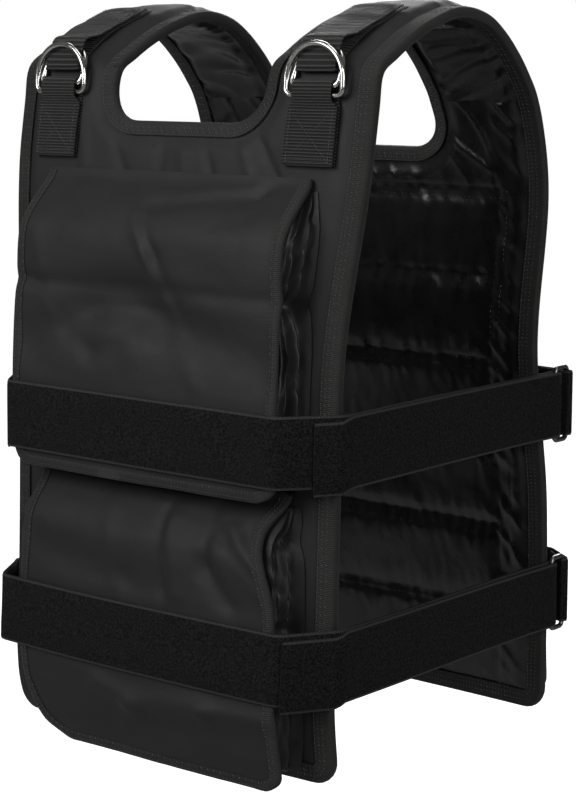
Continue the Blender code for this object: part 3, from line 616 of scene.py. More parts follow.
# (pitch, length, width) of a thread
QUILT_THREAD = (0.0042, 0.0030, 0.0006)
BOX_THREAD = (0.0029, 0.0024, 0.0008)
BOX_DOUBLE = 0.0022
TAPE_PITCH = 0.0030


def stitch_row(places, ways, outs, length, width, lean=0.0):
    """Points and faces of a row of threads: each a long octahedron that lies on the cloth."""
    sides = unit(np.cross(outs, ways))
    turn = np.where(np.arange(len(places)) % 2 == 0, 1.0, -1.0)[:, None] * lean
    ways = unit(ways * np.cos(turn) + sides * np.sin(turn))
    sides = unit(np.cross(outs, ways))
    half, thick = length / 2, width / 2
    corners = [places - ways * half, places + ways * half]
    corners += [places - sides * thick, places + sides * thick]
    corners += [places - outs * thick, places + outs * thick * 1.2]
    points = np.stack(corners, axis=1).reshape(-1, 3)
    one = [(0, 2, 5), (0, 5, 3), (0, 3, 4), (0, 4, 2), (1, 5, 2), (1, 3, 5), (1, 4, 3), (1, 2, 4)]
    faces = (np.array(one)[None] + 6 * np.arange(len(places))[:, None, None]).reshape(-1, 3)
    return points, faces


def add_stitches(name, rows, material):
    """One object from several rows of threads, each given as arguments of stitch_row."""
    points, faces, count = [], [], 0
    for row in rows:
        found, made = stitch_row(*row)
        points.append(found)
        faces.append(made + count)
        count += len(found)
    return add_mesh(name, np.concatenate(points), np.concatenate(faces), [material])


def seam(surface, path, thread):
    """Threads along a path on a surface: surface(a, b, d) gives the point d off it at (a, b)."""
    pitch, length, width = thread
    a, b = even_path(path, pitch).T
    places = surface(a, b, THREAD_LIFT)
    outs = unit(surface(a, b, THREAD_LIFT + MM) - places)
    ways = unit(np.gradient(places, axis=0))
    outs = unit(outs - ways * np.sum(outs * ways, axis=1)[:, None])
    return places, ways, outs, length, width


# Materials

class Shader:
    """A Principled material with its node tree at hand."""

    def __init__(self, name, colour, roughness, metallic=0.0, specular=0.5, sheen=0.0, fuzz=0.5):
        self.material = bpy.data.materials.new(name)
        self.material.use_nodes = True
        self.tree = self.material.node_tree
        self.main = self.tree.nodes["Principled BSDF"]
        self.set("Base Color", (*colour, 1.0))
        self.set("Roughness", roughness)
        self.set("Metallic", metallic)
        self.set("Specular IOR Level", specular)
        self.set("Sheen Weight", sheen)
        self.set("Sheen Roughness", fuzz)
        self.material.diffuse_color = (*colour, 1.0)
        self.cloth = self.add("ShaderNodeAttribute", attribute_name="cloth").outputs["Vector"]
        self.space = self.add("ShaderNodeTexCoord").outputs["Object"]
        self.bump_out = None

    def set(self, socket, value):
        self.main.inputs[socket].default_value = value

    def add(self, kind, **settings):
        node = self.tree.nodes.new(kind)
        for key, value in settings.items():
            setattr(node, key, value)
        return node

    def noise(self, scale, detail=3.0, stretch=(1, 1, 1), source=None):
        mapping = self.add("ShaderNodeMapping")
        mapping.inputs["Scale"].default_value = stretch
        self.tree.links.new(source or self.space, mapping.inputs["Vector"])
        node = self.add("ShaderNodeTexNoise")
        node.inputs["Scale"].default_value = scale
        node.inputs["Detail"].default_value = detail
        self.tree.links.new(mapping.outputs["Vector"], node.inputs["Vector"])
        return node.outputs["Fac"]

    def wave(self, period, axis, distort=0.0):
        """Ribs at this spacing, from -1 to 1, along the cloth's first (X) or second (Y) way."""
        node = self.add("ShaderNodeTexWave", wave_type="BANDS", bands_direction=axis)
        node.inputs["Scale"].default_value = math.pi / 10 / period
        node.inputs["Distortion"].default_value = distort
        self.tree.links.new(self.cloth, node.inputs["Vector"])
        return node.outputs["Fac"]

    def curve(self, value, low, high, to_low, to_high):
        node = self.add("ShaderNodeMapRange")
        ends = {"From Min": low, "From Max": high, "To Min": to_low, "To Max": to_high}
        for key, number in ends.items():
            node.inputs[key].default_value = number
        self.tree.links.new(value, node.inputs["Value"])
        return node.outputs["Result"]

    def maths(self, operation, a, b):
        node = self.add("ShaderNodeMath", operation=operation)
        for socket, value in zip(node.inputs, (a, b)):
            if isinstance(value, (int, float)):
                socket.default_value = value
            else:
                self.tree.links.new(value, socket)
        return node.outputs[0]

    def colours(self, value, low, high):
        """The base colour, from low to high with the value."""
        node = self.add("ShaderNodeValToRGB")
        node.color_ramp.elements[0].color = (*low, 1.0)
        node.color_ramp.elements[1].color = (*high, 1.0)
        self.tree.links.new(value, node.inputs["Fac"])
        self.tree.links.new(node.outputs["Color"], self.main.inputs["Base Color"])

    def roughen(self, value, low, high):
        self.tree.links.new(self.curve(value, 0.3, 0.7, low, high), self.main.inputs["Roughness"])

    def bump(self, value, distance, strength=1.0):
        node = self.add("ShaderNodeBump")
        node.inputs["Distance"].default_value = distance
        node.inputs["Strength"].default_value = strength
        self.tree.links.new(value, node.inputs["Height"])
        if self.bump_out is not None:
            self.tree.links.new(self.bump_out, node.inputs["Normal"])
        self.bump_out = node.outputs["Normal"]
        self.tree.links.new(self.bump_out, self.main.inputs["Normal"])


def make_shell():
    colour = (0.016, 0.016, 0.017)
    shell = Shader("shell cloth", colour, 0.52, specular=0.34, sheen=0.04, fuzz=0.45)
    weave = shell.maths("MULTIPLY", shell.wave(0.0011, "X"), shell.wave(0.0011, "Y"))
    patches = shell.noise(38.0, 4.0)
    shell.colours(patches, (0.0095, 0.0095, 0.0099), (0.0150, 0.0150, 0.0155))
    shell.roughen(patches, 0.58, 0.70)
    shell.bump(weave, 0.00018, 0.5)
    shell.bump(shell.noise(150.0, 3.0), 0.0006, 0.25)
    return shell.material


def make_lining():
    lining = Shader("lining", (0.009, 0.009, 0.010), 0.33, specular=0.6)
    patches = lining.noise(55.0, 4.0)
    lining.colours(patches, (0.0035, 0.0035, 0.0037), (0.0078, 0.0078, 0.0082))
    lining.roughen(patches, 0.24, 0.34)
    lining.bump(lining.noise(90.0, 3.0), 0.0010, 0.28)
    lining.bump(lining.wave(0.0010, "X"), 0.00008, 0.3)
    return lining.material


def make_gusset():
    gusset = Shader("gusset cloth", (0.014, 0.014, 0.015), 0.40, specular=0.40)
    patches = gusset.noise(70.0, 4.0)
    gusset.colours(patches, (0.0070, 0.0070, 0.0073), (0.0140, 0.0140, 0.0145))
    gusset.roughen(patches, 0.46, 0.60)
    gusset.bump(gusset.noise(120.0, 3.0), 0.0009, 0.3)
    return gusset.material


def make_tape():
    tape = Shader("binding tape", (0.020, 0.020, 0.019), 0.66, specular=0.32, sheen=0.06)
    ribs = tape.wave(0.0013, "X", 0.4)
    worn = tape.noise(60.0, 4.0)
    tape.colours(worn, (0.0100, 0.0100, 0.0095), (0.0220, 0.0220, 0.0208))
    tape.bump(ribs, 0.00035, 0.7)
    tape.bump(tape.noise(240.0, 2.0), 0.0004, 0.3)
    return tape.material


def make_webbing():
    webbing = Shader("webbing", (0.014, 0.014, 0.014), 0.60, specular=0.36, sheen=0.05)
    ribs = webbing.wave(0.0023, "X", 0.15)
    threads = webbing.wave(0.0016, "Y")
    # The colour follows the ribs: painted highlight on their crests and painted shade in their
    # troughs.
    rib_shade_and_highlight = webbing.maths("POWER", ribs, 1.6)
    webbing.colours(rib_shade_and_highlight, (0.0030, 0.0030, 0.0030), (0.0420, 0.0420, 0.0405))
    webbing.bump(ribs, 0.0012, 1.0)
    webbing.bump(threads, 0.0003, 0.5)
    return webbing.material


def make_pile():
    colour = (0.010, 0.010, 0.010)
    pile = Shader("belt pile", colour, 0.95, specular=0.09, sheen=0.02, fuzz=0.6)
    loops = pile.noise(620.0, 2.0)
    lit_tips_and_shaded_pile = pile.curve(loops, 0.35, 0.72, 0.0, 1.0)
    # The colour follows the loops' height: painted highlight on the loop tips and painted shade
    # between them.
    pile.colours(lit_tips_and_shaded_pile, (0.0026, 0.0026, 0.0026), (0.0165, 0.0165, 0.0168))
    pile.bump(loops, 0.0012, 0.9)
    return pile.material


def make_selvedge():
    edge = Shader("belt edge", (0.018, 0.018, 0.018), 0.66, specular=0.30, sheen=0.05)
    ribs = edge.wave(0.0016, "X", 0.3)
    # The colour follows the ribs: painted highlight on their crests and painted shade in their
    # troughs.
    edge.colours(ribs, (0.0110, 0.0110, 0.0110), (0.0300, 0.0300, 0.0290))
    edge.bump(ribs, 0.0004, 0.7)
    return edge.material


def make_thread(name, shade):
    thread = Shader(name, (shade, shade, shade * 0.97), 0.55, specular=0.35)
    thread.colours(thread.noise(900.0), (shade * 0.6,) * 3, (shade * 1.3,) * 3)
    thread.bump(thread.noise(1500.0), 0.0002, 0.4)
    return thread.material


def make_metal(name, shade, low, high):
    metal = Shader(name, shade, low, 1.0)
    scuffs = metal.noise(240.0, 5.0, (1, 1, 4))
    metal.colours(metal.noise(70.0, 3.0), tuple(c * 0.8 for c in shade), shade)
    metal.roughen(scuffs, low, high)
    metal.bump(scuffs, 0.00008, 0.3)
    return metal.material


SHELL = make_shell()
LINING = make_lining()
GUSSET_CLOTH = make_gusset()
TAPE = make_tape()
WEBBING = make_webbing()
PILE = make_pile()
SELVEDGE = make_selvedge()
PALE_THREAD = make_thread("pale thread", 0.085)
NICKEL = make_metal("nickel", (0.78, 0.77, 0.74), 0.10, 0.24)
DARK_WIRE = make_metal("dark wire", (0.24, 0.24, 0.25), 0.25, 0.42)


def hand_in(obj, slot, *nodes):
    """Attaches a piece of the vest to the root body and hides the solids it stands for; slot, its
    finish, is not used.
    """
    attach(obj, "root")
    if nodes:
        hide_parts(*nodes)
    return obj


# Panels

SIDE_QUILT = 0.040
SIDE_DOUBLE = 0.008
QUILT_DOUBLE = 0.006
SEAM_REACH = 0.0040
SIDE_SEAM_REACH = 0.005
PUCKER_REACH = 0.014
SIDE_PUCKER_REACH = 0.009
LINING_PUFF = 0.0008
# (wide, tall, height) of folds
PUCKERS = (0.011, 0.034, 0.0015)
PUCKER_RIPPLES = (0.006, 0.022, 0.0007)
SIDE_TUCKS = (0.024, 0.070, 0.0016)
LONG_FOLDS = (0.030, 0.090, 0.0024)
LINING_SWAY = (0.050, 0.030, 0.0007)
SHELL_SWAY = (0.030, 0.045, 0.0006)
SHELL_RIPPLES = (0.012, 0.020, 0.0002)
SHELL_RANGE = (-0.0020, 0.0018)


def quilt_levels(panel):
    bottom = -(FRONT_DROP if panel.front else BACK_DROP)
    return np.arange(QUILT_TOP, bottom + 0.01, -QUILT_PITCH)


def quilting(panel, x, v):
    """How far the lining is drawn in by its seams, and how puckered it is beside them."""
    z = panel.z(v)
    side = half_width(z) - SIDE_QUILT
    within = smooth_step((side - np.abs(x)) / 0.004 + 1)
    draw = np.zeros(np.shape(x))
    pucker = np.zeros(np.shape(x))
    for level in quilt_levels(panel):
        for line, share in ((level, 1.0), (level - QUILT_DOUBLE, 0.75)):
            away = np.abs(z - line)
            draw = np.maximum(draw, share * within * np.exp(-away / SEAM_REACH))
            pucker = np.maximum(pucker, within * np.exp(-away / PUCKER_REACH))
    below = smooth_step((QUILT_TOP + 0.01 - z) / 0.02)
    for shift, share in ((0.0, 1.0), (SIDE_DOUBLE, 0.8)):
        away = np.abs(np.abs(x) - side - shift)
        draw = np.maximum(draw, share * below * np.exp(-away / SIDE_SEAM_REACH))
        pucker = np.maximum(pucker, below * np.exp(-away / SIDE_PUCKER_REACH))
    return draw, pucker


def lining_depth(panel, x, v):
    """How far the lining lies inside its flat place, with seams, puckers and soft folds."""
    z = panel.z(v)
    draw, pucker = quilting(panel, x, v)
    full = fullness(panel.edge_distance(x, v))
    cross = ridges(x, z, PUCKERS, 3) + ripple(x, z, PUCKER_RIPPLES, 4)
    slant = x * np.sign(x) * 0.7 + z
    side = np.abs(x) > half_width(z) - SIDE_QUILT
    tucks = ridges(slant, np.abs(x) - slant * 0.4, SIDE_TUCKS, 6, 2) * side
    upper = smooth_step((z - QUILT_TOP) / 0.02)
    long_folds = ridges(x + z * 0.6, z - x * 0.6, LONG_FOLDS, 9, 4) * upper
    soft = ripple(x, z, LINING_SWAY, 12)
    depth = QUILT_DEPTH * draw - LINING_PUFF * (1 - draw)
    return full * (depth - pucker * cross - tucks - long_folds + soft)


def near_seam(distance):
    """0 at a shoulder seam, 1 away from it: both cloths lie level where they meet."""
    return smooth_step(np.abs(distance) / 0.012)


def shell_height(panel, x, v):
    """How far the outer cloth stands off its flat place."""
    z = panel.z(v)
    full = fullness(panel.edge_distance(x, v))
    height = ripple(x, z, SHELL_SWAY, 15) + ripple(x, z, SHELL_RIPPLES, 16)
    height = height + creases(PANEL_CREASES, x if panel.front else -x, z)
    return full * near_seam(panel.top - v) * np.clip(height, *SHELL_RANGE)


def panel_plan(panel):
    """The panel's flat plan: points, triangles."""
    rim, neck = panel.rim(), panel.neckline()
    shoulder = np.linspace(NECK_HALF, SHOULDER_HALF, 28)[1:-1]
    right = np.stack([shoulder[::-1], np.full(26, panel.top)], axis=1)
    left = np.stack([-shoulder, np.full(26, panel.top)], axis=1)
    outline = np.concatenate([rim, right, neck[::-1], left])
    count = len(outline)
    edges = [(i, (i + 1) % count) for i in range(count)]
    points = [*outline]
    for path, side in ((rim, 1), (neck, -1)):
        for distance in (BIND_WIDTH * 0.5, BIND_WIDTH):
            points += list(inset(path, distance, side)[1:-1])
    rows = np.arange(FINE, panel.top, FINE)
    across = np.arange(-0.18, 0.18, FINE)
    x, v = (grid.ravel() for grid in np.meshgrid(across, rows))
    keep = panel.edge_distance(x, v) > BIND_WIDTH + FINE * 0.6
    points += list(np.stack([x[keep], v[keep]], axis=1))
    result = delaunay_2d_cdt([Vector(p) for p in points], edges, [], 0, 1e-6)
    plan = np.array([(p.x, p.y) for p in result[0]])
    triangles = np.array([tuple(f) for f in result[2] if len(f) == 3])
    middle = plan[triangles].mean(axis=1)
    inside = panel.edge_distance(middle[:, 0], middle[:, 1]) > -0.0002
    inside &= middle[:, 1] < panel.top
    corner = half_width(panel.z(0.0)) - CORNER_RADIUS
    dx = np.abs(middle[:, 0]) - corner
    dv = CORNER_RADIUS - middle[:, 1]
    inside &= ~((dx > 0) & (dv > 0) & (np.hypot(dx, dv) > CORNER_RADIUS))
    return plan, triangles[inside]


def build_panel(name, panel, node):
    plan, triangles = panel_plan(panel)
    x, v = plan[:, 0], plan[:, 1]
    half = panel.thickness(x, v) / 2
    outer = place(x, panel.s(v), half + shell_height(panel, x, v))
    inner = place(x, panel.s(v), lining_depth(panel, x, v) - half)
    count = len(plan)
    directed = np.concatenate([triangles[:, [0, 1]], triangles[:, [1, 2]], triangles[:, [2, 0]]])
    known = set(map(tuple, directed))
    rim = [(b, a, count + a, count + b) for a, b in known if (b, a) not in known]
    faces = [tuple(f) for f in triangles]
    faces += [tuple(f) for f in triangles[:, ::-1] + count]
    faces += sorted(rim)
    parts = [0] * len(triangles) + [1] * len(triangles) + [0] * len(rim)
    cloth = np.concatenate([plan, plan])
    points = np.concatenate([outer, inner])
    cover = add_mesh(name, points, faces, [SHELL, LINING], parts, cloth, 75)
    hand_in(cover, "shell", node)


def quilt_stitches(panel, name):
    """Threads along the quilting seams on the lining."""

    def surface(x, v, d):
        half = panel.thickness(x, v) / 2
        return place(x, panel.s(v), lining_depth(panel, x, v) - half - d)

    rows = []
    for level in quilt_levels(panel):
        for z in (level, level - QUILT_DOUBLE):
            if z < panel.heights[0] + BIND_WIDTH:
                continue
            v = float(panel.v(z))
            side = half_width(z) - SIDE_QUILT
            rows.append(seam(surface, [(-side, v), (side, v)], QUILT_THREAD))
    levels = np.linspace(float(panel.v(QUILT_TOP)), BIND_WIDTH, 40)
    for turn in (-1, 1):
        for shift in (0.0, SIDE_DOUBLE):
            path = [(turn * (half_width(panel.z(v)) - SIDE_QUILT + shift), v) for v in levels]
            rows.append(seam(surface, path, QUILT_THREAD))
    return hand_in(add_stitches(name, rows, PALE_THREAD), "tape")


# Shoulder pads

# (wide, tall, height) of folds
PAD_SWAY = (0.020, 0.012, 0.0007)
PAD_FOLDS = (0.016, 0.080, 0.0012)
PAD_LINING_FOLDS = (0.018, 0.090, 0.0030)
PAD_LINING_SWAY = (0.010, 0.030, 0.0009)


def inside_pad(x):
    """How far inside a shoulder pad's edges these places are."""
    return np.minimum(SHOULDER_HALF - np.abs(x), np.abs(x) - NECK_HALF)


def pad_thickness(x, s):
    over = np.sin(math.pi * np.clip(way_over(s), 0.0, 1.0))
    return padding(PANEL_THICK + (PAD_THICK - PANEL_THICK) * over, inside_pad(x))


def on_pad(x, s, d):
    return place(x, s, pad_thickness(x, s) / 2 + d)


def build_pad(name, side, node):
    s = np.linspace(FRONT_SEAM, BACK_SEAM, 96)[:, None]
    x = side * np.linspace(NECK_HALF, SHOULDER_HALF, 40)[None, :]
    s, x = np.broadcast_arrays(s, x)
    full = smooth_step((inside_pad(x) - BIND_WIDTH * 0.8) / SWELL)
    under = smooth_step((way_over(s) - 0.40) / 0.1)
    top_folds = ripple(x, s, PAD_SWAY, 21 + side)
    top_folds = top_folds + ridges(s, x, PAD_FOLDS, 23 + side) * under
    lining = ridges(s + 0.2 * np.abs(x), x, PAD_LINING_FOLDS, 25 + side)
    lining = lining + ripple(s, x, PAD_LINING_SWAY, 27)
    half = pad_thickness(x, s) / 2
    level = near_seam(np.minimum(s - FRONT_SEAM, BACK_SEAM - s))
    outer = place(x, s, half + full * level * top_folds)
    inner = place(x, s, -half - full * lining)
    cloth = np.stack([x, s], axis=-1)
    cover = slab(name, outer, inner, [SHELL, LINING], cloth)
    hand_in(cover, "shell", node)


# Binding tape

LIP_HALF = float(padding(PANEL_THICK, BAND_WIDTH)) / 2
TAPE_TURNS = [math.pi / 2 * share for share in (1.0, 0.65, 0.3, 0.0, -0.3, -0.65, -1.0)]
TAPE_POINT = 0.55


def tape_section(edge, lip, s_edge, s_lip, wave):
    """The U of tape round a bound edge, with a soft fold: edge and lip are x."""
    heart = place(edge, s_edge, 0.0)
    inward = place(lip, s_lip, 0.0)
    outward = unit(heart - inward)
    up = unit(place(lip, s_lip, MM) - inward)
    found = []
    for thick in (TAPE_GAP * 0.5, TAPE_GAP + TAPE_THICK):
        reach = EDGE_THICK / 2 + thick
        row = [place(lip, s_lip, LIP_HALF + thick * (1.0 + wave))]
        for angle in TAPE_TURNS:
            out = outward * (reach * TAPE_POINT * math.cos(angle))
            row.append(heart + out + up * reach * math.sin(angle))
        row.append(place(lip, s_lip, -LIP_HALF - thick * (1.0 + wave)))
        found += row if thick < TAPE_THICK else row[::-1]
    return np.array(found)


def bound_line(edge, side):
    """(edge x, lip x, edge s, lip s) all along one endless binding."""
    paths = {True: FRONT.rim(), False: BACK.rim()}
    if edge == NECK_HALF:
        paths = {True: FRONT.neckline(), False: BACK.neckline()}
    width = BAND_WIDTH if edge == SHOULDER_HALF else BIND_WIDTH
    into = -1 if edge == SHOULDER_HALF else 1
    rows = []
    for panel in (FRONT, BACK):
        path = paths[panel.front]
        lips = inset(path, width, side)
        found = [(x, lx, panel.s(v), panel.s(lv)) for (x, v), (lx, lv) in zip(path, lips)]
        rows += found if panel.front else found[::-1]
        turn = 1 if panel.front else -1
        stations = np.linspace(FRONT_SEAM, BACK_SEAM, 70)[1:-1][::turn]
        rows += [(turn * edge, turn * (edge + into * width), s, s) for s in stations]
    return rows


def build_binding(name, edge, side, node):
    rows = bound_line(edge, side)
    sections, cloth, run = [], [], 0.0
    last = None
    for i, (x, lip, s, s_lip) in enumerate(rows):
        wave = 0.25 * noise.noise(Vector((i * 0.22, side, 3.0)))
        section = tape_section(x, lip, s, s_lip, wave)
        middle = section.mean(axis=0)
        run += 0.0 if last is None else float(np.linalg.norm(middle - last))
        last = middle
        sections.append(section)
        cloth += [(run, 0.002 * j) for j in range(len(section))]
    tape = tube(name, sections, True, TAPE, cloth, 70)
    return hand_in(tape, "tape", node)


def binding_stitches(name, edge, side):
    """A straight row of threads and two slanted ones, on both faces of the tape."""
    x, lip, s, s_lip = np.array(bound_line(edge, side)).T
    found = []
    for face in (1, -1):
        for share, lean in ((0.92, 0.0), (0.66, 0.9), (0.36, 0.9)):
            line = np.stack([x + (lip - x) * share, s + (s_lip - s) * share], axis=1)
            line = np.concatenate([line, line[:1]])
            half = EDGE_THICK / 2 * (1 - share) + LIP_HALF * share
            d = face * (half + TAPE_GAP + TAPE_THICK + THREAD_LIFT)
            step = along(place(line[:, 0], line[:, 1], d))
            at_x, at_s = read_at(np.arange(0, step[-1], TAPE_PITCH), step, line).T
            places = place(at_x, at_s, d)
            outs = unit(place(at_x, at_s, d + face * MM) - places)
            ways = unit(np.gradient(places, axis=0))
            found.append((places, ways, outs, 0.0026, 0.0006, lean))
    return hand_in(add_stitches(name, found, PALE_THREAD), "tape")


# Pouch banks

# (wide, tall, height) of folds
PLEATS = (0.0052, 0.050, 0.0058)
FINE_PLEATS = (0.0045, 0.022, 0.0024)
PINCH_REACH = 0.022
PINCH_FOLDS = 7.0
PINCH_DEPTH = 0.0036
PINCH_BASE = 0.0014
PINCH_SEAM = 0.0052
PINCH_SEAM_HALF = 0.0040


def gusset_outline():
    """(share of half width, share of depth, share of a gusset) round a bank's section."""
    half = smooth_curve([np.array(row) for row in GUSSET], 8)
    side = [(x, d, math.sin(math.pi * min(max(d, 0.0), 1.0)) ** 0.5) for x, d in half]
    corner = half[-1]
    across = np.linspace(corner[0], -corner[0], 50)[1:-1]
    front = [(x, 1.0, 0.0) for x in across]
    back = [(x, 0.0, 0.0) for x in np.linspace(-1, 1, 26)[1:-1]]
    return np.array(side + front + [(-x, d, g) for x, d, g in side[::-1]] + back)


def gather(side, d, z, pinches, seed):
    """How far a gusset is drawn in: long pleats, and folds that spread from each pinch."""
    depth = ridges(d * 0.02, z, PLEATS, seed)
    depth = depth + ridges(d * 0.02 + z * 0.10, z, FINE_PLEATS, seed + 1)
    for level in pinches:
        away = z - level
        near = np.exp(-((away / PINCH_REACH) ** 2))
        angle = np.arctan2(away, (d - 0.45) * 0.030)
        fan = 0.5 + 0.5 * np.cos(angle * PINCH_FOLDS + side + seed)
        depth = depth + near * (PINCH_DEPTH * fan + PINCH_BASE)
        depth = depth + PINCH_SEAM * np.exp(-((away / PINCH_SEAM_HALF) ** 2))
    return depth


def build_bank(name, panel, top, bottom, table, folds, pinches, seed, node):
    outline = gusset_outline()
    at = np.linspace(0.0, 1.0, 76)
    depth = smooth_column(table, at, 1)[:, None]
    width = smooth_column(table, at, 2)[:, None]
    z = (top + (bottom - top) * at)[:, None]
    share_x, share_d, side_share = (outline[:, i][None, :] for i in range(3))
    side = np.sign(share_x)
    drawn = gather(side, share_d + side * 2.0, z + 0.004 * side, pinches, seed) * side_share
    x = share_x * BANK_HALF * width - side * drawn
    d = BANK_GAP + BANK_DEPTH * share_d * depth
    under = np.minimum(creases(folds, x, np.broadcast_to(z, x.shape)), 0.0) - UNDER_FLAP
    d = d + under * smooth_step((share_d - 0.55) / 0.35)
    v = np.broadcast_to(panel.v(z), x.shape)
    cloth = np.stack([share_d * BANK_DEPTH + x, v], axis=-1).reshape(-1, 2)
    bank = tube(name, panel.on_face(x, v, d), False, GUSSET_CLOTH, cloth, 65)
    hand_in(bank, "gusset", node)
    return bank


# Cover flaps

# (wide, tall, height) of folds
FLAP_FOLDS = ((0.040, 0.026, 0.0012), (0.014, 0.010, 0.0003))
FLAP_FLARE = 0.0016
FLAP_FLARE_REACH = 0.02


def flap_line(panel, top, bottom, table, seam_level, hem):
    """(v, d, out along v, out along d) of the middle of a flap, from its seam to its hem."""
    levels = panel.v(np.array([top + (bottom - top) * row[0] for row in table]))
    depths = np.array([BANK_GAP + BANK_DEPTH * row[1] for row in table])
    full = depths.max()
    last = max(i for i, d in enumerate(depths) if d == full)
    line = [(float(panel.v(seam_level)), BANK_GAP), *zip(levels[: last + 1], depths[: last + 1])]
    start, end = line[-1][0], float(panel.v(hem))
    for t in (0.3, 0.6, 0.8, 1.0):
        line.append((start + (end - start) * t, full * (1 - HEM_DROOP * t**2)))
    path = even_path(smooth_curve([np.array(p) for p in line], 10), FINE)
    tangent = unit(np.gradient(path, axis=0))
    out = np.stack([tangent[:, 1], -tangent[:, 0]], axis=1)
    return path + out * (FLAP_GAP + FLAP_THICK / 2), out


def belt_room(z):
    """1 away from the belts, and 0 under them, where they hold the flap flat."""
    room = np.ones(np.shape(z))
    for level in (UPPER_BELT, LOWER_BELT):
        room = np.minimum(room, smooth_step((np.abs(z - level) - BELT_WIDTH / 2 - 0.002) / 0.010))
    return room


class Flap:
    """A cover flap's cloth, as a surface over (share across, distance down from its seam)."""

    def __init__(self, panel, shape, edges, table, seed):
        self.panel = panel
        self.line, self.out = flap_line(panel, *shape)
        self.down = along(self.line)
        self.length = self.down[-1]
        self.edges = edges
        self.table = table
        self.seed = seed

    def across(self, share, down):
        right = smooth_column(self.edges, down / self.length, 1)
        left = smooth_column(self.edges, down / self.length, 2)
        near = np.clip(1.0 - (self.length - down) / FLAP_CORNER, 0.0, 1.0)
        cut = FLAP_CORNER * (1.0 - np.sqrt(1.0 - near**2))
        return share * (FLAP_HALF * np.where(share > 0, right, left) - cut)

    def rows(self, start, step):
        """Distances down the flap, closer where its corners are rounded."""
        turn = self.length - FLAP_CORNER
        straight = np.linspace(start, turn, int((turn - start) / step))
        angles = np.linspace(0.0, math.pi / 2, 11)[1:]
        return np.concatenate([straight, turn + FLAP_CORNER * np.sin(angles)])

    def at(self, share, down, d):
        """The points d outward from the middle of the cloth."""
        share, down, d = np.broadcast_arrays(share, down, d)
        v, depth = (np.interp(down, self.down, self.line[:, i]) for i in (0, 1))
        out_v, out_d = (np.interp(down, self.down, self.out[:, i]) for i in (0, 1))
        x = self.across(share, down)
        z = self.panel.z(v)
        height = creases(self.table, x, z)
        for i, fold in enumerate(FLAP_FOLDS):
            height = height + ripple(x, z, fold, self.seed + i)
        room = belt_room(z)
        height = np.where(height > 0, height * room, height * (0.35 + 0.65 * room))
        height = height * smooth_step(down / 0.012)
        height = height * smooth_step((1.0 - np.abs(share)) / 0.08 + 0.25)
        low = smooth_step((down - self.length + FLAP_FLARE_REACH) / FLAP_FLARE_REACH)
        total = d + height + FLAP_FLARE * low * room
        return self.panel.on_face(x, v + out_v * total, depth + out_d * total)


def build_flap(name, flap, node):
    down = flap.rows(0.0, FINE)[:, None]
    share = np.linspace(-1.0, 1.0, 84)[None, :]
    grids = [flap.at(share, down, turn * FLAP_THICK / 2) for turn in (1, -1)]
    x = flap.across(*np.broadcast_arrays(share, down))
    cloth = np.stack([x, np.broadcast_to(down, x.shape)], axis=-1)
    cover = slab(name, *grids, [SHELL], cloth)
    hand_in(cover, "shell", node)
    width = float(x.max() - x.min())
    sides = flap.across(np.array([[1.0]]), down) - flap.across(np.array([[-1.0]]), down)
    middles = (sides[1:, 0] + sides[:-1, 0]) / 2
    area = float(np.sum(middles * np.diff(down[:, 0])))
    return cover, (width, flap.length), area


def flap_path(flap):
    """(share across, down) along a flap's bound sides and hem."""
    down = flap.rows(0.002, 0.004)
    left = [(-1.0, t) for t in down]
    hem = [(share, flap.length) for share in np.linspace(-1.0, 1.0, 70)[1:-1]]
    right = [(1.0, t) for t in down[::-1]]
    return np.array(left + hem + right)


# (share of the way from the edge to the lip, share of half the height) round a flap's tape
FLAP_TAPE = ((1.0, 1.0), (0.2, 1.15), (0.0, 0.55), (0.0, -0.55), (0.2, -1.05), (1.0, -1.0))


def flap_tape_rows(flap):
    """The sections of the tape round a flap, and how far along the tape each lies."""
    path = flap_path(flap)
    flat = np.stack([flap.across(path[:, 0], path[:, 1]), -path[:, 1]], axis=1)
    tangent = unit(np.gradient(flat, axis=0))
    inward = np.stack([-tangent[:, 1], tangent[:, 0]], axis=1)
    lips = flat + inward * BIND_WIDTH * 0.85
    edges = flat - inward * 0.0008
    share, height = np.array(FLAP_TAPE).T
    plan = edges[:, None] * (1 - share)[:, None] + lips[:, None] * share[:, None]
    x, below = plan[..., 0], -plan[..., 1]
    down = np.clip(below, 0.0, flap.length + 0.002)
    whole = np.ones(down.shape)
    width = np.where(x > 0, flap.across(whole, down), -flap.across(-whole, down))
    points = flap.at(x / width, down, height * (FLAP_THICK / 2 + 0.0007))
    points[..., 2] -= below - down
    return points, along(flat)


def flap_stitches(name, points):
    """A slanted row of threads by the tape's lip, and a straight one by its edge."""
    outer = points[:, 0] * 0.86 + points[:, 1] * 0.14
    inner = points[:, 0] * 0.25 + points[:, 1] * 0.75
    step = along(outer)
    at = np.arange(0.002, step[-1], TAPE_PITCH)
    normal = unit(np.cross(np.gradient(points[:, 0], axis=0), points[:, 1] - points[:, 0]))
    flip = np.sign(np.sum(normal * (points[:, 0] - points[:, 5]), axis=1))[:, None]
    outs = unit(read_at(at, step, normal * flip))
    places = read_at(at, step, outer)
    ways = unit(np.gradient(places, axis=0))
    rows = [(places + outs * THREAD_LIFT, ways, outs, 0.0024, 0.0006, 0.8)]
    rows.append((read_at(at, step, inner) + outs * 0.0004, ways, outs, 0.0022, 0.0005, 0.0))
    hand_in(add_stitches(name, rows, PALE_THREAD), "tape")


def flap_binding(name, flap):
    """A strip of tape folded over a flap's sides and hem, with its stitches."""
    points, run = flap_tape_rows(flap)
    cloth = np.stack(np.broadcast_arrays(run[:, None], np.arange(len(FLAP_TAPE)) * 0.003), -1)
    tape = tube(name, points, False, TAPE, cloth.reshape(-1, 2), 70)
    hand_in(tape, "tape")
    flap_stitches(name + "_stitches", points)
    return tape


# Belts

WRAP = RING_WIRE / 2 + BELT_GAP + BELT_THICK / 2
LAYER = BELT_THICK + BELT_GAP


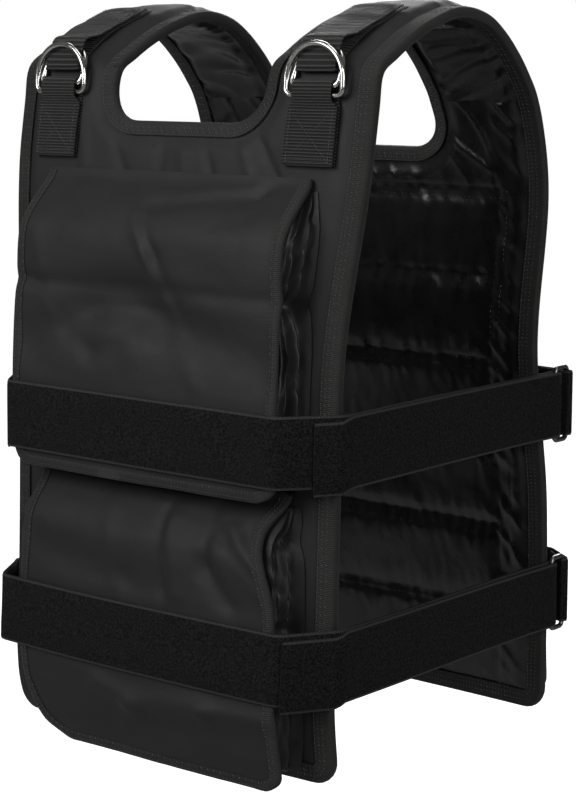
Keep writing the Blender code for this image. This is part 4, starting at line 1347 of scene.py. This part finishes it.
def rounded(points, radius, steps):
    """A plan path with its inner corners rounded off."""
    found = [np.array(points[0])]
    for a, b, c in zip(points, points[1:], points[2:]):
        a, b, c = (np.array(p, float) for p in (a, b, c))
        before, after = (a - b) / np.linalg.norm(a - b), (c - b) / np.linalg.norm(c - b)
        turn = math.acos(max(-1.0, min(1.0, float(-before @ after))))
        most = 0.45 * min(np.linalg.norm(a - b), np.linalg.norm(c - b))
        reach = min(radius * math.tan(turn / 2), most)
        start, end = b + before * reach, b + after * reach
        for t in np.linspace(0, 1, steps):
            found.append((1 - t) ** 2 * start + 2 * t * (1 - t) * b + t**2 * end)
    found.append(np.array(points[-1]))
    return found


def arc(centre, radius, start, end, steps):
    """Points round a centre, from one angle to another, in degrees."""
    angles = np.radians(np.linspace(start, end, steps))
    return [np.array(centre) + radius * np.array([math.cos(a), math.sin(a)]) for a in angles]


def moved_out(path, distance):
    """A plan path moved to the right of its direction."""
    tangent = np.empty_like(path)
    tangent[1:-1] = path[2:] - path[:-2]
    tangent[0], tangent[-1] = path[1] - path[0], path[-1] - path[-2]
    tangent = unit(tangent)
    return path + distance * np.stack([tangent[:, 1], -tangent[:, 0]], axis=1)


def belt_plan(panel, z, widest):
    """(x, y) of a belt's inner layer on the right half at this level."""
    v = float(panel.v(z))
    stack = BANK_GAP + BANK_DEPTH + FLAP_GAP + FLAP_THICK + BELT_ROOM + BELT_THICK / 2
    corner = FLAP_HALF * widest + BELT_GAP + BELT_THICK / 2
    level = [panel.on_face(corner * t, v, stack)[:2] for t in (0.0, 0.33, 0.66, 1.0)]
    edge_x = half_width(z) + TAPE_GAP + TAPE_THICK + BELT_GAP + BELT_THICK / 2 + EDGE_ROOM
    return [*level, (edge_x, spine_point(panel.s(v))[0])]


def front_belt_half(panel, z, widest, free_end):
    """(x, y, share of the overlap's drop) from the middle of the front to a free end."""
    level = belt_plan(panel, z, widest)
    bar = np.array([RING_X, RING_FRONT_BAR])
    inner = rounded([*level, (bar[0] - WRAP, bar[1])], BELT_CORNER, 9)
    turn = arc(bar, WRAP, 180, 0, 13)
    corner, edge = np.array(level[-2]), np.array(level[-1])
    meet = np.array([edge[0] + LAYER, bar[1] - RING_SPAN * 2.5])
    tip = edge + (corner - edge) * min(free_end, 0.999)
    bend = np.array(rounded([meet - [LAYER, 0], edge, tip], BELT_CORNER, 9))
    outer = [np.array([bar[0] + WRAP, bar[1]]), meet, *moved_out(bend, -LAYER)[1:]]
    path = [(*p, 0.0) for p in [*inner[:-1], *turn]]
    for i, p in enumerate(outer[1:]):
        path.append((*p, (i + 1) / (len(outer) - 1)))
    return path


def back_belt_half(panel, z, widest):
    """(x, y, 0) from the middle of the back, round the rings' rear bar, to the sewn end."""
    level = belt_plan(panel, z, widest)[:-1]
    bar = np.array([RING_X, RING_FRONT_BAR + RING_SPAN])
    slant = np.array(level[-1]) - bar
    angle = math.degrees(math.atan2(slant[1], slant[0]))
    turn = arc(bar, WRAP, angle - 90, angle - 270, 13)
    run = slant / np.linalg.norm(slant)
    gap_side = np.array([-run[1], run[0]])
    start = turn[-1] + run * BACK_LOOP * 0.4 - gap_side * (WRAP - LAYER) * LOOP_CLOSE
    end = start + run * BACK_LOOP * 0.6
    outer = rounded([*level, turn[0]], BELT_CORNER, 9)
    return [(*p, 0.0) for p in [*outer[:-1], *turn, start, end]]


BELT_ACROSS = (-0.5, -0.485, -0.467, -0.25, 0.0, 0.25, 0.467, 0.485, 0.5)
BELT_STEP = 0.005
BELT_SWAY = (0.16, 1.0, 0.0016)
BELT_EDGE_SHARE = 0.62
WEBBING_STEP = 0.0012


def build_belt(name, left, right, level, seed, node):
    """A belt from its left and right halves, with narrow woven edges and a soft sway."""
    steps = None
    grids = {1: [], -1: []}
    cloth = []
    for up in BELT_ACROSS:
        z = level + up * BELT_WIDTH
        path = np.array([(-x, y, drop) for x, y, drop in right(z)[:0:-1]] + left(z))
        run = along(path[:, :2])
        if steps is None:
            steps = np.linspace(0, 1, int(run[-1] / BELT_STEP))
        at = steps * run[-1]
        read = read_at(at, run, path)
        flat, drop = read[:, :2], read[:, 2]
        edge = abs(up) > 0.47
        half = BELT_THICK / 2 * (BELT_EDGE_SHARE if edge else 1.0)
        sway = ripple(at, np.full(len(at), 0.3 * seed), BELT_SWAY, seed)
        height = z - OVERLAP_DROP * drop + sway
        for turn in (1, -1):
            row = moved_out(flat, turn * half)
            grids[turn].append(np.column_stack([row, height]))
        cloth.append(np.stack([at, np.full(len(at), up * BELT_WIDTH)], axis=1))
    outer, inner = np.array(grids[1]), np.array(grids[-1])
    rows, columns = outer.shape[:2]
    parts = np.zeros((rows - 1, columns - 1), int)
    parts[[0, 1, -2, -1], :] = 2
    cloth = np.array(cloth)
    belt = slab(name, outer, inner, [PILE, PILE, SELVEDGE], cloth, parts.ravel())
    return hand_in(belt, "belt", node)


def round_wire(name, path, normal, radius, sides, material, slot, node):
    """A closed ring of round wire along a flat path."""
    path = even_path([*path, path[0]], radius * 0.8)[:-1]
    ways = unit(np.roll(path, -1, axis=0) - np.roll(path, 1, axis=0))
    out = unit(np.cross(ways, np.asarray(normal)))
    angles = np.linspace(0, 2 * math.pi, sides, endpoint=False)[None, :, None]
    ring = out[:, None] * np.cos(angles) + np.asarray(normal)[None, None] * np.sin(angles)
    return hand_in(tube(name, path[:, None] + radius * ring, True, material), slot, node)


def build_side_ring(name, side, level, node):
    half_height = BELT_WIDTH / 2 + RING_CLEAR + RING_WIRE / 2
    middle = RING_FRONT_BAR + RING_SPAN / 2
    path = []
    for up, way, start in ((1, 1, 0), (1, -1, 90), (-1, -1, 180), (-1, 1, 270)):
        y = middle + way * (RING_SPAN / 2 - RING_CORNER)
        z = level + up * (half_height - RING_CORNER)
        for dy, dz in arc((0.0, 0.0), RING_CORNER, start, start + 90, 8):
            path.append((side * RING_X, y + dy, z + dz))
    return round_wire(name, path, (1.0, 0, 0), RING_WIRE / 2, 14, DARK_WIRE, "wire", node)


# D-rings and shoulder webbing

BAR_DEPTH = WEBBING_GAP + WEBBING_THICK + LAYER_GAP + D_WIRE / 2
FRONT_LAYER = BAR_DEPTH + D_WIRE / 2 + LAYER_GAP + WEBBING_THICK / 2
D_INNER_LARGE = D_INNER + 2 * (D_WIRE + D_CLEAR)
BACK_LAYER = WEBBING_GAP + WEBBING_THICK / 2
SECOND_LAYER = BACK_LAYER + WEBBING_THICK + 2 * LAYER_GAP


def webbing_line(s, d):
    return on_pad(WEBBING_X, s, d)[..., 1:]


REAR_BAR = float(FRONT.v(REAR_D_BAR))
RING_REACH = D_SIDE + D_INNER / 2 + D_WIRE


def ring_frame():
    """The rear ring's bar in (y, z), the cloth's normal and way up there, and the ring's lean."""
    bar = webbing_line(REAR_BAR, BAR_DEPTH)
    normal = spine_normal(REAR_BAR)
    up = np.array([normal[1], -normal[0]])
    slopes = []
    for s in REAR_BAR + np.linspace(CROSSING, 1.0, 6) * RING_REACH:
        offset = webbing_line(s, BAR_DEPTH + RING_ROOM) - bar
        slopes.append(math.atan2(offset @ normal, offset @ up))
    return bar, normal, up, max(slopes)


def over_rear_ring(s):
    """Where webbing passes over the rear D-ring: its depth, and its way up from the bar."""
    bar, normal, up, lean = ring_frame()
    plane = normal * math.cos(lean) - up * math.sin(lean)
    offset = bar - webbing_line(s, 0.0)
    distance = offset @ plane / (spine_normal(s) @ plane)
    depth = max(FRONT_LAYER, distance + FRONT_LAYER - BAR_DEPTH + RING_ROOM)
    return depth, float(np.linalg.norm(webbing_line(s, depth) - bar))


def build_d_ring(name, side, level, tilt, inner_width, node):
    s = float(FRONT.v(level))
    origin = FRONT.on_face(side * WEBBING_X, s, BAR_DEPTH)
    ny, nz = spine_normal(s)
    lean = ring_frame()[3] + math.radians(tilt)
    normal, up = np.array([0, ny, nz]), np.array([0, nz, -ny])
    rise_way = up * math.cos(lean) + normal * math.sin(lean)
    half = (inner_width + D_WIRE) / 2
    corner = [
        (half - D_CORNER * (1 - math.sin(a)), D_CORNER * (1 - math.cos(a)))
        for a in np.linspace(0, math.pi / 2, 8)
    ]
    bow = [(half * math.cos(a), D_SIDE + half * math.sin(a)) for a in np.linspace(0, math.pi, 40)]
    outline = corner + bow + [(-a, b) for a, b in corner[::-1]]
    x_way = np.array([1.0, 0, 0])
    path = [origin + x_way * a + rise_way * b for a, b in outline]
    plane = np.cross(x_way, rise_way)
    return round_wire(name, path, plane, D_WIRE / 2, 16, NICKEL, "nickel", node)


def ring_width(share):
    return WEBBING_WIDTH + (WEBBING_IN_RING - WEBBING_WIDTH) * smooth_step(share)


ACROSS = np.linspace(-0.5, 0.5, 11)


def ribbon(name, side, centre, line, widths, on_surface, node):
    """Webbing along a line of (s, d), with rounded edges, level across between the rings."""
    line = np.array(line)
    run = along(line)
    at = np.linspace(0, run[-1], int(run[-1] / WEBBING_STEP))
    smooth = read_at(at, run, line)
    for _ in range(4):
        smooth[1:-1] = (smooth[:-2] + 2 * smooth[1:-1] + smooth[2:]) / 4
    tangent = unit(np.gradient(smooth, axis=0))
    width = np.interp(at, run, widths)
    follow = smooth_step((np.abs(smooth[:, 0] - centre) - WEBBING_SPAN) / WEBBING_SPAN)
    grids = []
    for turn in (1, -1):
        thick = WEBBING_THICK / 2 * (1 - 0.55 * (np.abs(ACROSS) * 2) ** 8)
        out_s = -tangent[:, 1:] * thick[None] * turn
        out_d = tangent[:, :1] * thick[None] * turn
        across = width[:, None] * ACROSS[None]
        middle = side * WEBBING_X
        x = middle + across * follow[:, None]
        points = on_surface(x, smooth[:, :1] + out_s, smooth[:, 1:] + out_d)
        grids.append(np.concatenate([(middle + across)[..., None], points[..., 1:]], axis=-1))
    cloth = np.stack([np.broadcast_to(at[:, None], across.shape), across], axis=-1)
    return hand_in(slab(name, *grids, [WEBBING], cloth), "webbing", node)


def ring_webbing_line():
    bottom, top = float(FRONT.v(PATCH_BOTTOM)), float(FRONT.v(PATCH_TOP))
    upper_bar, lower_bar = REAR_BAR, float(FRONT.v(FRONT_D_BAR))
    turn = (FRONT_LAYER - BACK_LAYER) / 2
    line = [(s, BACK_LAYER) for s in (bottom, (bottom + top) / 2, top, upper_bar)]
    line += arc((upper_bar, BACK_LAYER + turn), turn, -60, 60, 9)
    line += [(upper_bar, FRONT_LAYER), (lower_bar, FRONT_LAYER)]
    for t in (0.3, 0.55, 0.8):
        share = smooth_step(t)
        s = lower_bar - (lower_bar - top) * t
        line.append((s, FRONT_LAYER + (SECOND_LAYER - FRONT_LAYER) * share))
    line += [(top, SECOND_LAYER), ((bottom + top) / 2, SECOND_LAYER), (bottom, SECOND_LAYER)]
    widths = [ring_width((s - top) / (lower_bar - D_WIRE - top)) for s, _ in line]
    return line, widths, upper_bar


def shoulder_webbing_line():
    fold = float(FRONT.v(FOLD_LEVEL))
    tip = FRONT_SEAM + TAIL_END * (BACK_SEAM - FRONT_SEAM)
    rising = REAR_BAR + RING_REACH * np.linspace(0.3, 1.1, 33)
    clear = float(np.interp(RING_REACH + BOW_ROOM, [over_rear_ring(s)[1] for s in rising], rising))
    stations = [FRONT_SEAM + row[0] * (BACK_SEAM - FRONT_SEAM) for row in CROWN]
    stations = [s for s in stations if clear + BEND_ROOM < s < tip - BEND_ROOM]
    turn = (over_rear_ring(fold)[0] - BACK_LAYER) / 2
    line = [(s, BACK_LAYER) for s in [tip, *stations[::-1], clear, (clear + fold) / 2, fold]]
    line += arc((fold, BACK_LAYER + turn), turn, 240, 120, 9)
    for s in fold + (clear - fold) * np.array([0.3, 0.55, 0.7, 0.85, 1.0]):
        line.append((s, over_rear_ring(s)[0]))
    bow_depth = line[-1][1]
    end = tip - TAIL_DOWN * 0.2
    for s in [*(s for s in stations if s < end - BEND_ROOM), end]:
        left = max(1 - (s - clear) / TAIL_DOWN, 0.0)
        line.append((s, SECOND_LAYER + (bow_depth - SECOND_LAYER) * left**2))
    widths = [ring_width(1 - (s - clear) / TAIL_DOWN) for s, _ in line]
    return line, widths, REAR_BAR + WEBBING_SPAN


def box_stitch(surface, low, high, half):
    """Rows of threads in a box with a cross inside and doubled ends."""
    corners = [(-half, low), (half, low), (half, high), (-half, high)]
    lines = list(zip(corners, corners[1:] + corners[:1]))
    lines += [(corners[0], corners[2]), (corners[1], corners[3])]
    for level in (low + BOX_DOUBLE, high - BOX_DOUBLE):
        lines.append(((-half, level), (half, level)))
    return [seam(surface, line, BOX_THREAD) for line in lines]


def webbing_stitches(name, side):
    """The box stitch on the sewn-down patch, and the one on the strap's tail."""
    middle = side * WEBBING_X
    top_face = SECOND_LAYER + WEBBING_THICK / 2

    def patch(a, b, d):
        return FRONT.on_face(middle + a, b, top_face + d)

    def tail(a, b, d):
        return on_pad(middle + a, b, top_face + d)

    low, high = float(FRONT.v(PATCH_BOTTOM)), float(FRONT.v(PATCH_TOP))
    half = WEBBING_WIDTH / 2 - 0.0035
    rows = box_stitch(patch, low + 0.003, high - 0.002, half)
    tip = FRONT_SEAM + TAIL_END * (BACK_SEAM - FRONT_SEAM)
    rows += box_stitch(tail, tip - 0.030, tip - 0.009, half)
    return hand_in(add_stitches(name, rows, PALE_THREAD), "webbing")


# The whole vest

UPPER_BANK_TOP = -0.118
UPPER_BANK_BOTTOM = -0.316
UPPER_HEM = -0.335
LOWER_BANK_TOP = -0.341
FRONT_BANK_BOTTOM = -0.534
FRONT_LOWER_HEM = -0.551
BACK_BANK_BOTTOM = -0.562
BACK_LOWER_HEM = -0.580
SEAM_ABOVE_BANK = 0.008
LOWER_SEAM_ABOVE_BANK = 0.010

# (panel, place, top, bottom, section table, seam above, hem, flap edges, creases, pinches, seed)
BANKS = (
    (FRONT, "front", "upper", UPPER_BANK_TOP, UPPER_BANK_BOTTOM, UPPER_BANK, SEAM_ABOVE_BANK,
     UPPER_HEM, UPPER_FLAP, UPPER_CREASES, (-0.195,), 31),
    (FRONT, "front", "lower", LOWER_BANK_TOP, FRONT_BANK_BOTTOM, LOWER_BANK, LOWER_SEAM_ABOVE_BANK,
     FRONT_LOWER_HEM, LOWER_FLAP, LOWER_CREASES, (-0.361, -0.425), 41),
    (BACK, "back", "upper", UPPER_BANK_TOP, UPPER_BANK_BOTTOM, UPPER_BANK, SEAM_ABOVE_BANK,
     UPPER_HEM, UPPER_FLAP, BACK_UPPER_CREASES, (-0.195,), 51),
    (BACK, "back", "lower", LOWER_BANK_TOP, BACK_BANK_BOTTOM, LOWER_BANK, LOWER_SEAM_ABOVE_BANK,
     BACK_LOWER_HEM, LOWER_FLAP, BACK_LOWER_CREASES, (-0.361, -0.425), 61),
)


def build_banks():
    for panel, word, row, top, bottom, table, above, hem, edges, folds, pinches, seed in BANKS:
        node = f"{word}_pouches_{row}"
        bank = build_bank(node + "_cloth", panel, top, bottom, table, folds, pinches, seed, node)
        shape = (top, bottom, table, top + above, hem)
        flap = Flap(panel, shape, edges, folds, seed + 3)
        node = f"{word}_flap_{row}"
        cover, flat, area = build_flap(node + "_cloth", flap, node)
        tape = flap_binding(node + "_tape", flap)


# (place, level, how far in the left and right free ends reach, flap edges, seed)
BELTS = (
    ("upper", UPPER_BELT, 0.45, 0.55, UPPER_FLAP, 71),
    ("lower", LOWER_BELT, 0.95, 0.55, LOWER_FLAP, 81),
)


def build_belts():
    for word, level, left_end, right_end, edges, seed in BELTS:
        wide = max(max(row[1:]) for row in edges)

        def left(z):
            return front_belt_half(FRONT, z, wide, left_end)

        def right(z):
            return front_belt_half(FRONT, z, wide, right_end)

        def behind(z):
            return back_belt_half(BACK, z, wide)

        build_belt(f"front_belt_{word}_cloth", left, right, level, seed, f"front_belt_{word}")
        build_belt(f"back_belt_{word}_cloth", behind, behind, level, seed + 4, f"back_belt_{word}")
        for side, hand in ((1, "left"), (-1, "right")):
            node = f"belt_ring_{word}_{hand}"
            build_side_ring(node + "_wire", side, level, node)


# (place, level of the bar, tilt, width inside)
D_RINGS = (
    ("rear", REAR_D_BAR, 0.0, D_INNER),
    ("front", FRONT_D_BAR, FRONT_D_TILT, D_INNER_LARGE),
)


def build_shoulders():
    for side, word in ((1, "left"), (-1, "right")):
        build_pad(f"shoulder_pad_{word}_cover", side, f"shoulder_pad_{word}")
        for kind, level, tilt, inner in D_RINGS:
            node = f"d_ring_{kind}_{word}"
            build_d_ring(node + "_wire", side, level, tilt, inner, node)
        line, widths, centre = ring_webbing_line()
        node = f"ring_webbing_{word}"
        ribbon(node + "_strap", side, centre, line, widths, FRONT.on_face, node)
        line, widths, centre = shoulder_webbing_line()
        node = f"shoulder_webbing_{word}"
        ribbon(node + "_strap", side, centre, line, widths, on_pad, node)
        webbing_stitches(f"webbing_stitches_{word}", side)


def build_vest():
    build_panel("front_panel_cover", FRONT, "front_panel")
    build_panel("back_panel_cover", BACK, "back_panel")
    quilt_stitches(FRONT, "front_quilt_stitches")
    quilt_stitches(BACK, "back_quilt_stitches")
    build_binding("edge_binding_tape", SHOULDER_HALF, 1, "edge_binding")
    build_binding("neck_binding_tape", NECK_HALF, -1, "neck_binding")
    binding_stitches("edge_binding_stitches", SHOULDER_HALF, 1)
    binding_stitches("neck_binding_stitches", NECK_HALF, -1)
    build_banks()
    build_belts()
    build_shoulders()


# Studio

CAMERA_PLACE = (1.0874, -1.2853, -0.0226)
CAMERA_AZIMUTH = 40.0
CAMERA_PITCH = 9.116
CAMERA_LENS = 96.75
FLOOR_LEVEL = -0.72
FLOOR_HALF = 6.0
WORLD_LIGHT = 0.085
WORLD_WHITE = 1.0
FLOOR_LIGHT = 0.0
FLOOR_WHITE = 0.985


def add_camera():
    data = bpy.data.cameras.new("camera")
    data.lens = CAMERA_LENS
    data.sensor_width = 36.0
    data.clip_end = 50.0
    camera = bpy.data.objects.new("camera", data)
    bpy.context.scene.collection.objects.link(camera)
    turn, pitch = math.radians(CAMERA_AZIMUTH), math.radians(CAMERA_PITCH)
    flat = math.cos(pitch)
    way = Vector((-math.sin(turn) * flat, math.cos(turn) * flat, -math.sin(pitch)))
    camera.location = CAMERA_PLACE
    camera.rotation_euler = way.to_track_quat("-Z", "Y").to_euler()
    bpy.context.scene.camera = camera


def seen_as(tree, socket, light, seen):
    """The socket's value where the backdrop gives light, and where it is looked at."""
    value = tree.nodes.new("ShaderNodeMapRange")
    value.inputs["To Min"].default_value = light
    value.inputs["To Max"].default_value = seen
    path = tree.nodes.new("ShaderNodeLightPath")
    tree.links.new(path.outputs["Is Camera Ray"], value.inputs["Value"])
    tree.links.new(value.outputs["Result"], socket)


def add_floor():
    """A plain white sweep well below the hem."""
    mesh = bpy.data.meshes.new("floor")
    around = ((-1, -1), (1, -1), (1, 1), (-1, 1))
    corners = [(FLOOR_HALF * a, FLOOR_HALF * b, FLOOR_LEVEL) for a, b in around]
    mesh.from_pydata(corners, [], [(0, 1, 2, 3)])
    floor = bpy.data.objects.new("floor", mesh)
    bpy.context.scene.collection.objects.link(floor)
    paper = Shader("paper", (0.30, 0.30, 0.30), 0.9)
    paper.set("Emission Color", (1.0, 1.0, 1.0, 1.0))
    seen_as(paper.tree, paper.main.inputs["Emission Strength"], FLOOR_LIGHT, FLOOR_WHITE)
    mesh.materials.append(paper.material)


# (name, place, size, power) of each soft light
LIGHTS = (
    ("key", (-0.35, -1.45, 0.50), 0.9, 16.0),
    ("fill", (2.3, -0.9, 0.6), 1.2, 25.0),
    ("top", (0.3, 0.1, 1.9), 1.0, 7.0),
    ("rim", (-1.0, 1.7, 0.6), 1.0, 34.0),
)
LIT_PLACE = (0.0, 0.0, -0.20)


def add_light(name, place_at, size, power):
    data = bpy.data.lights.new(name, "AREA")
    data.shape = "RECTANGLE"
    data.size = data.size_y = size
    data.energy = power
    light = bpy.data.objects.new(name, data)
    bpy.context.scene.collection.objects.link(light)
    light.location = place_at
    way = Vector(LIT_PLACE) - Vector(place_at)
    light.rotation_euler = way.to_track_quat("-Z", "Y").to_euler()


def add_studio():
    world = bpy.data.worlds.new("studio")
    world.use_nodes = True
    background = world.node_tree.nodes["Background"]
    background.inputs["Color"].default_value = (1.0, 1.0, 1.0, 1.0)
    seen_as(world.node_tree, background.inputs["Strength"], WORLD_LIGHT, WORLD_WHITE)
    bpy.context.scene.world = world
    bpy.context.scene.view_settings.view_transform = "Standard"
    for light in LIGHTS:
        add_light(*light)


add_camera()
add_floor()
add_studio()
build_vest()
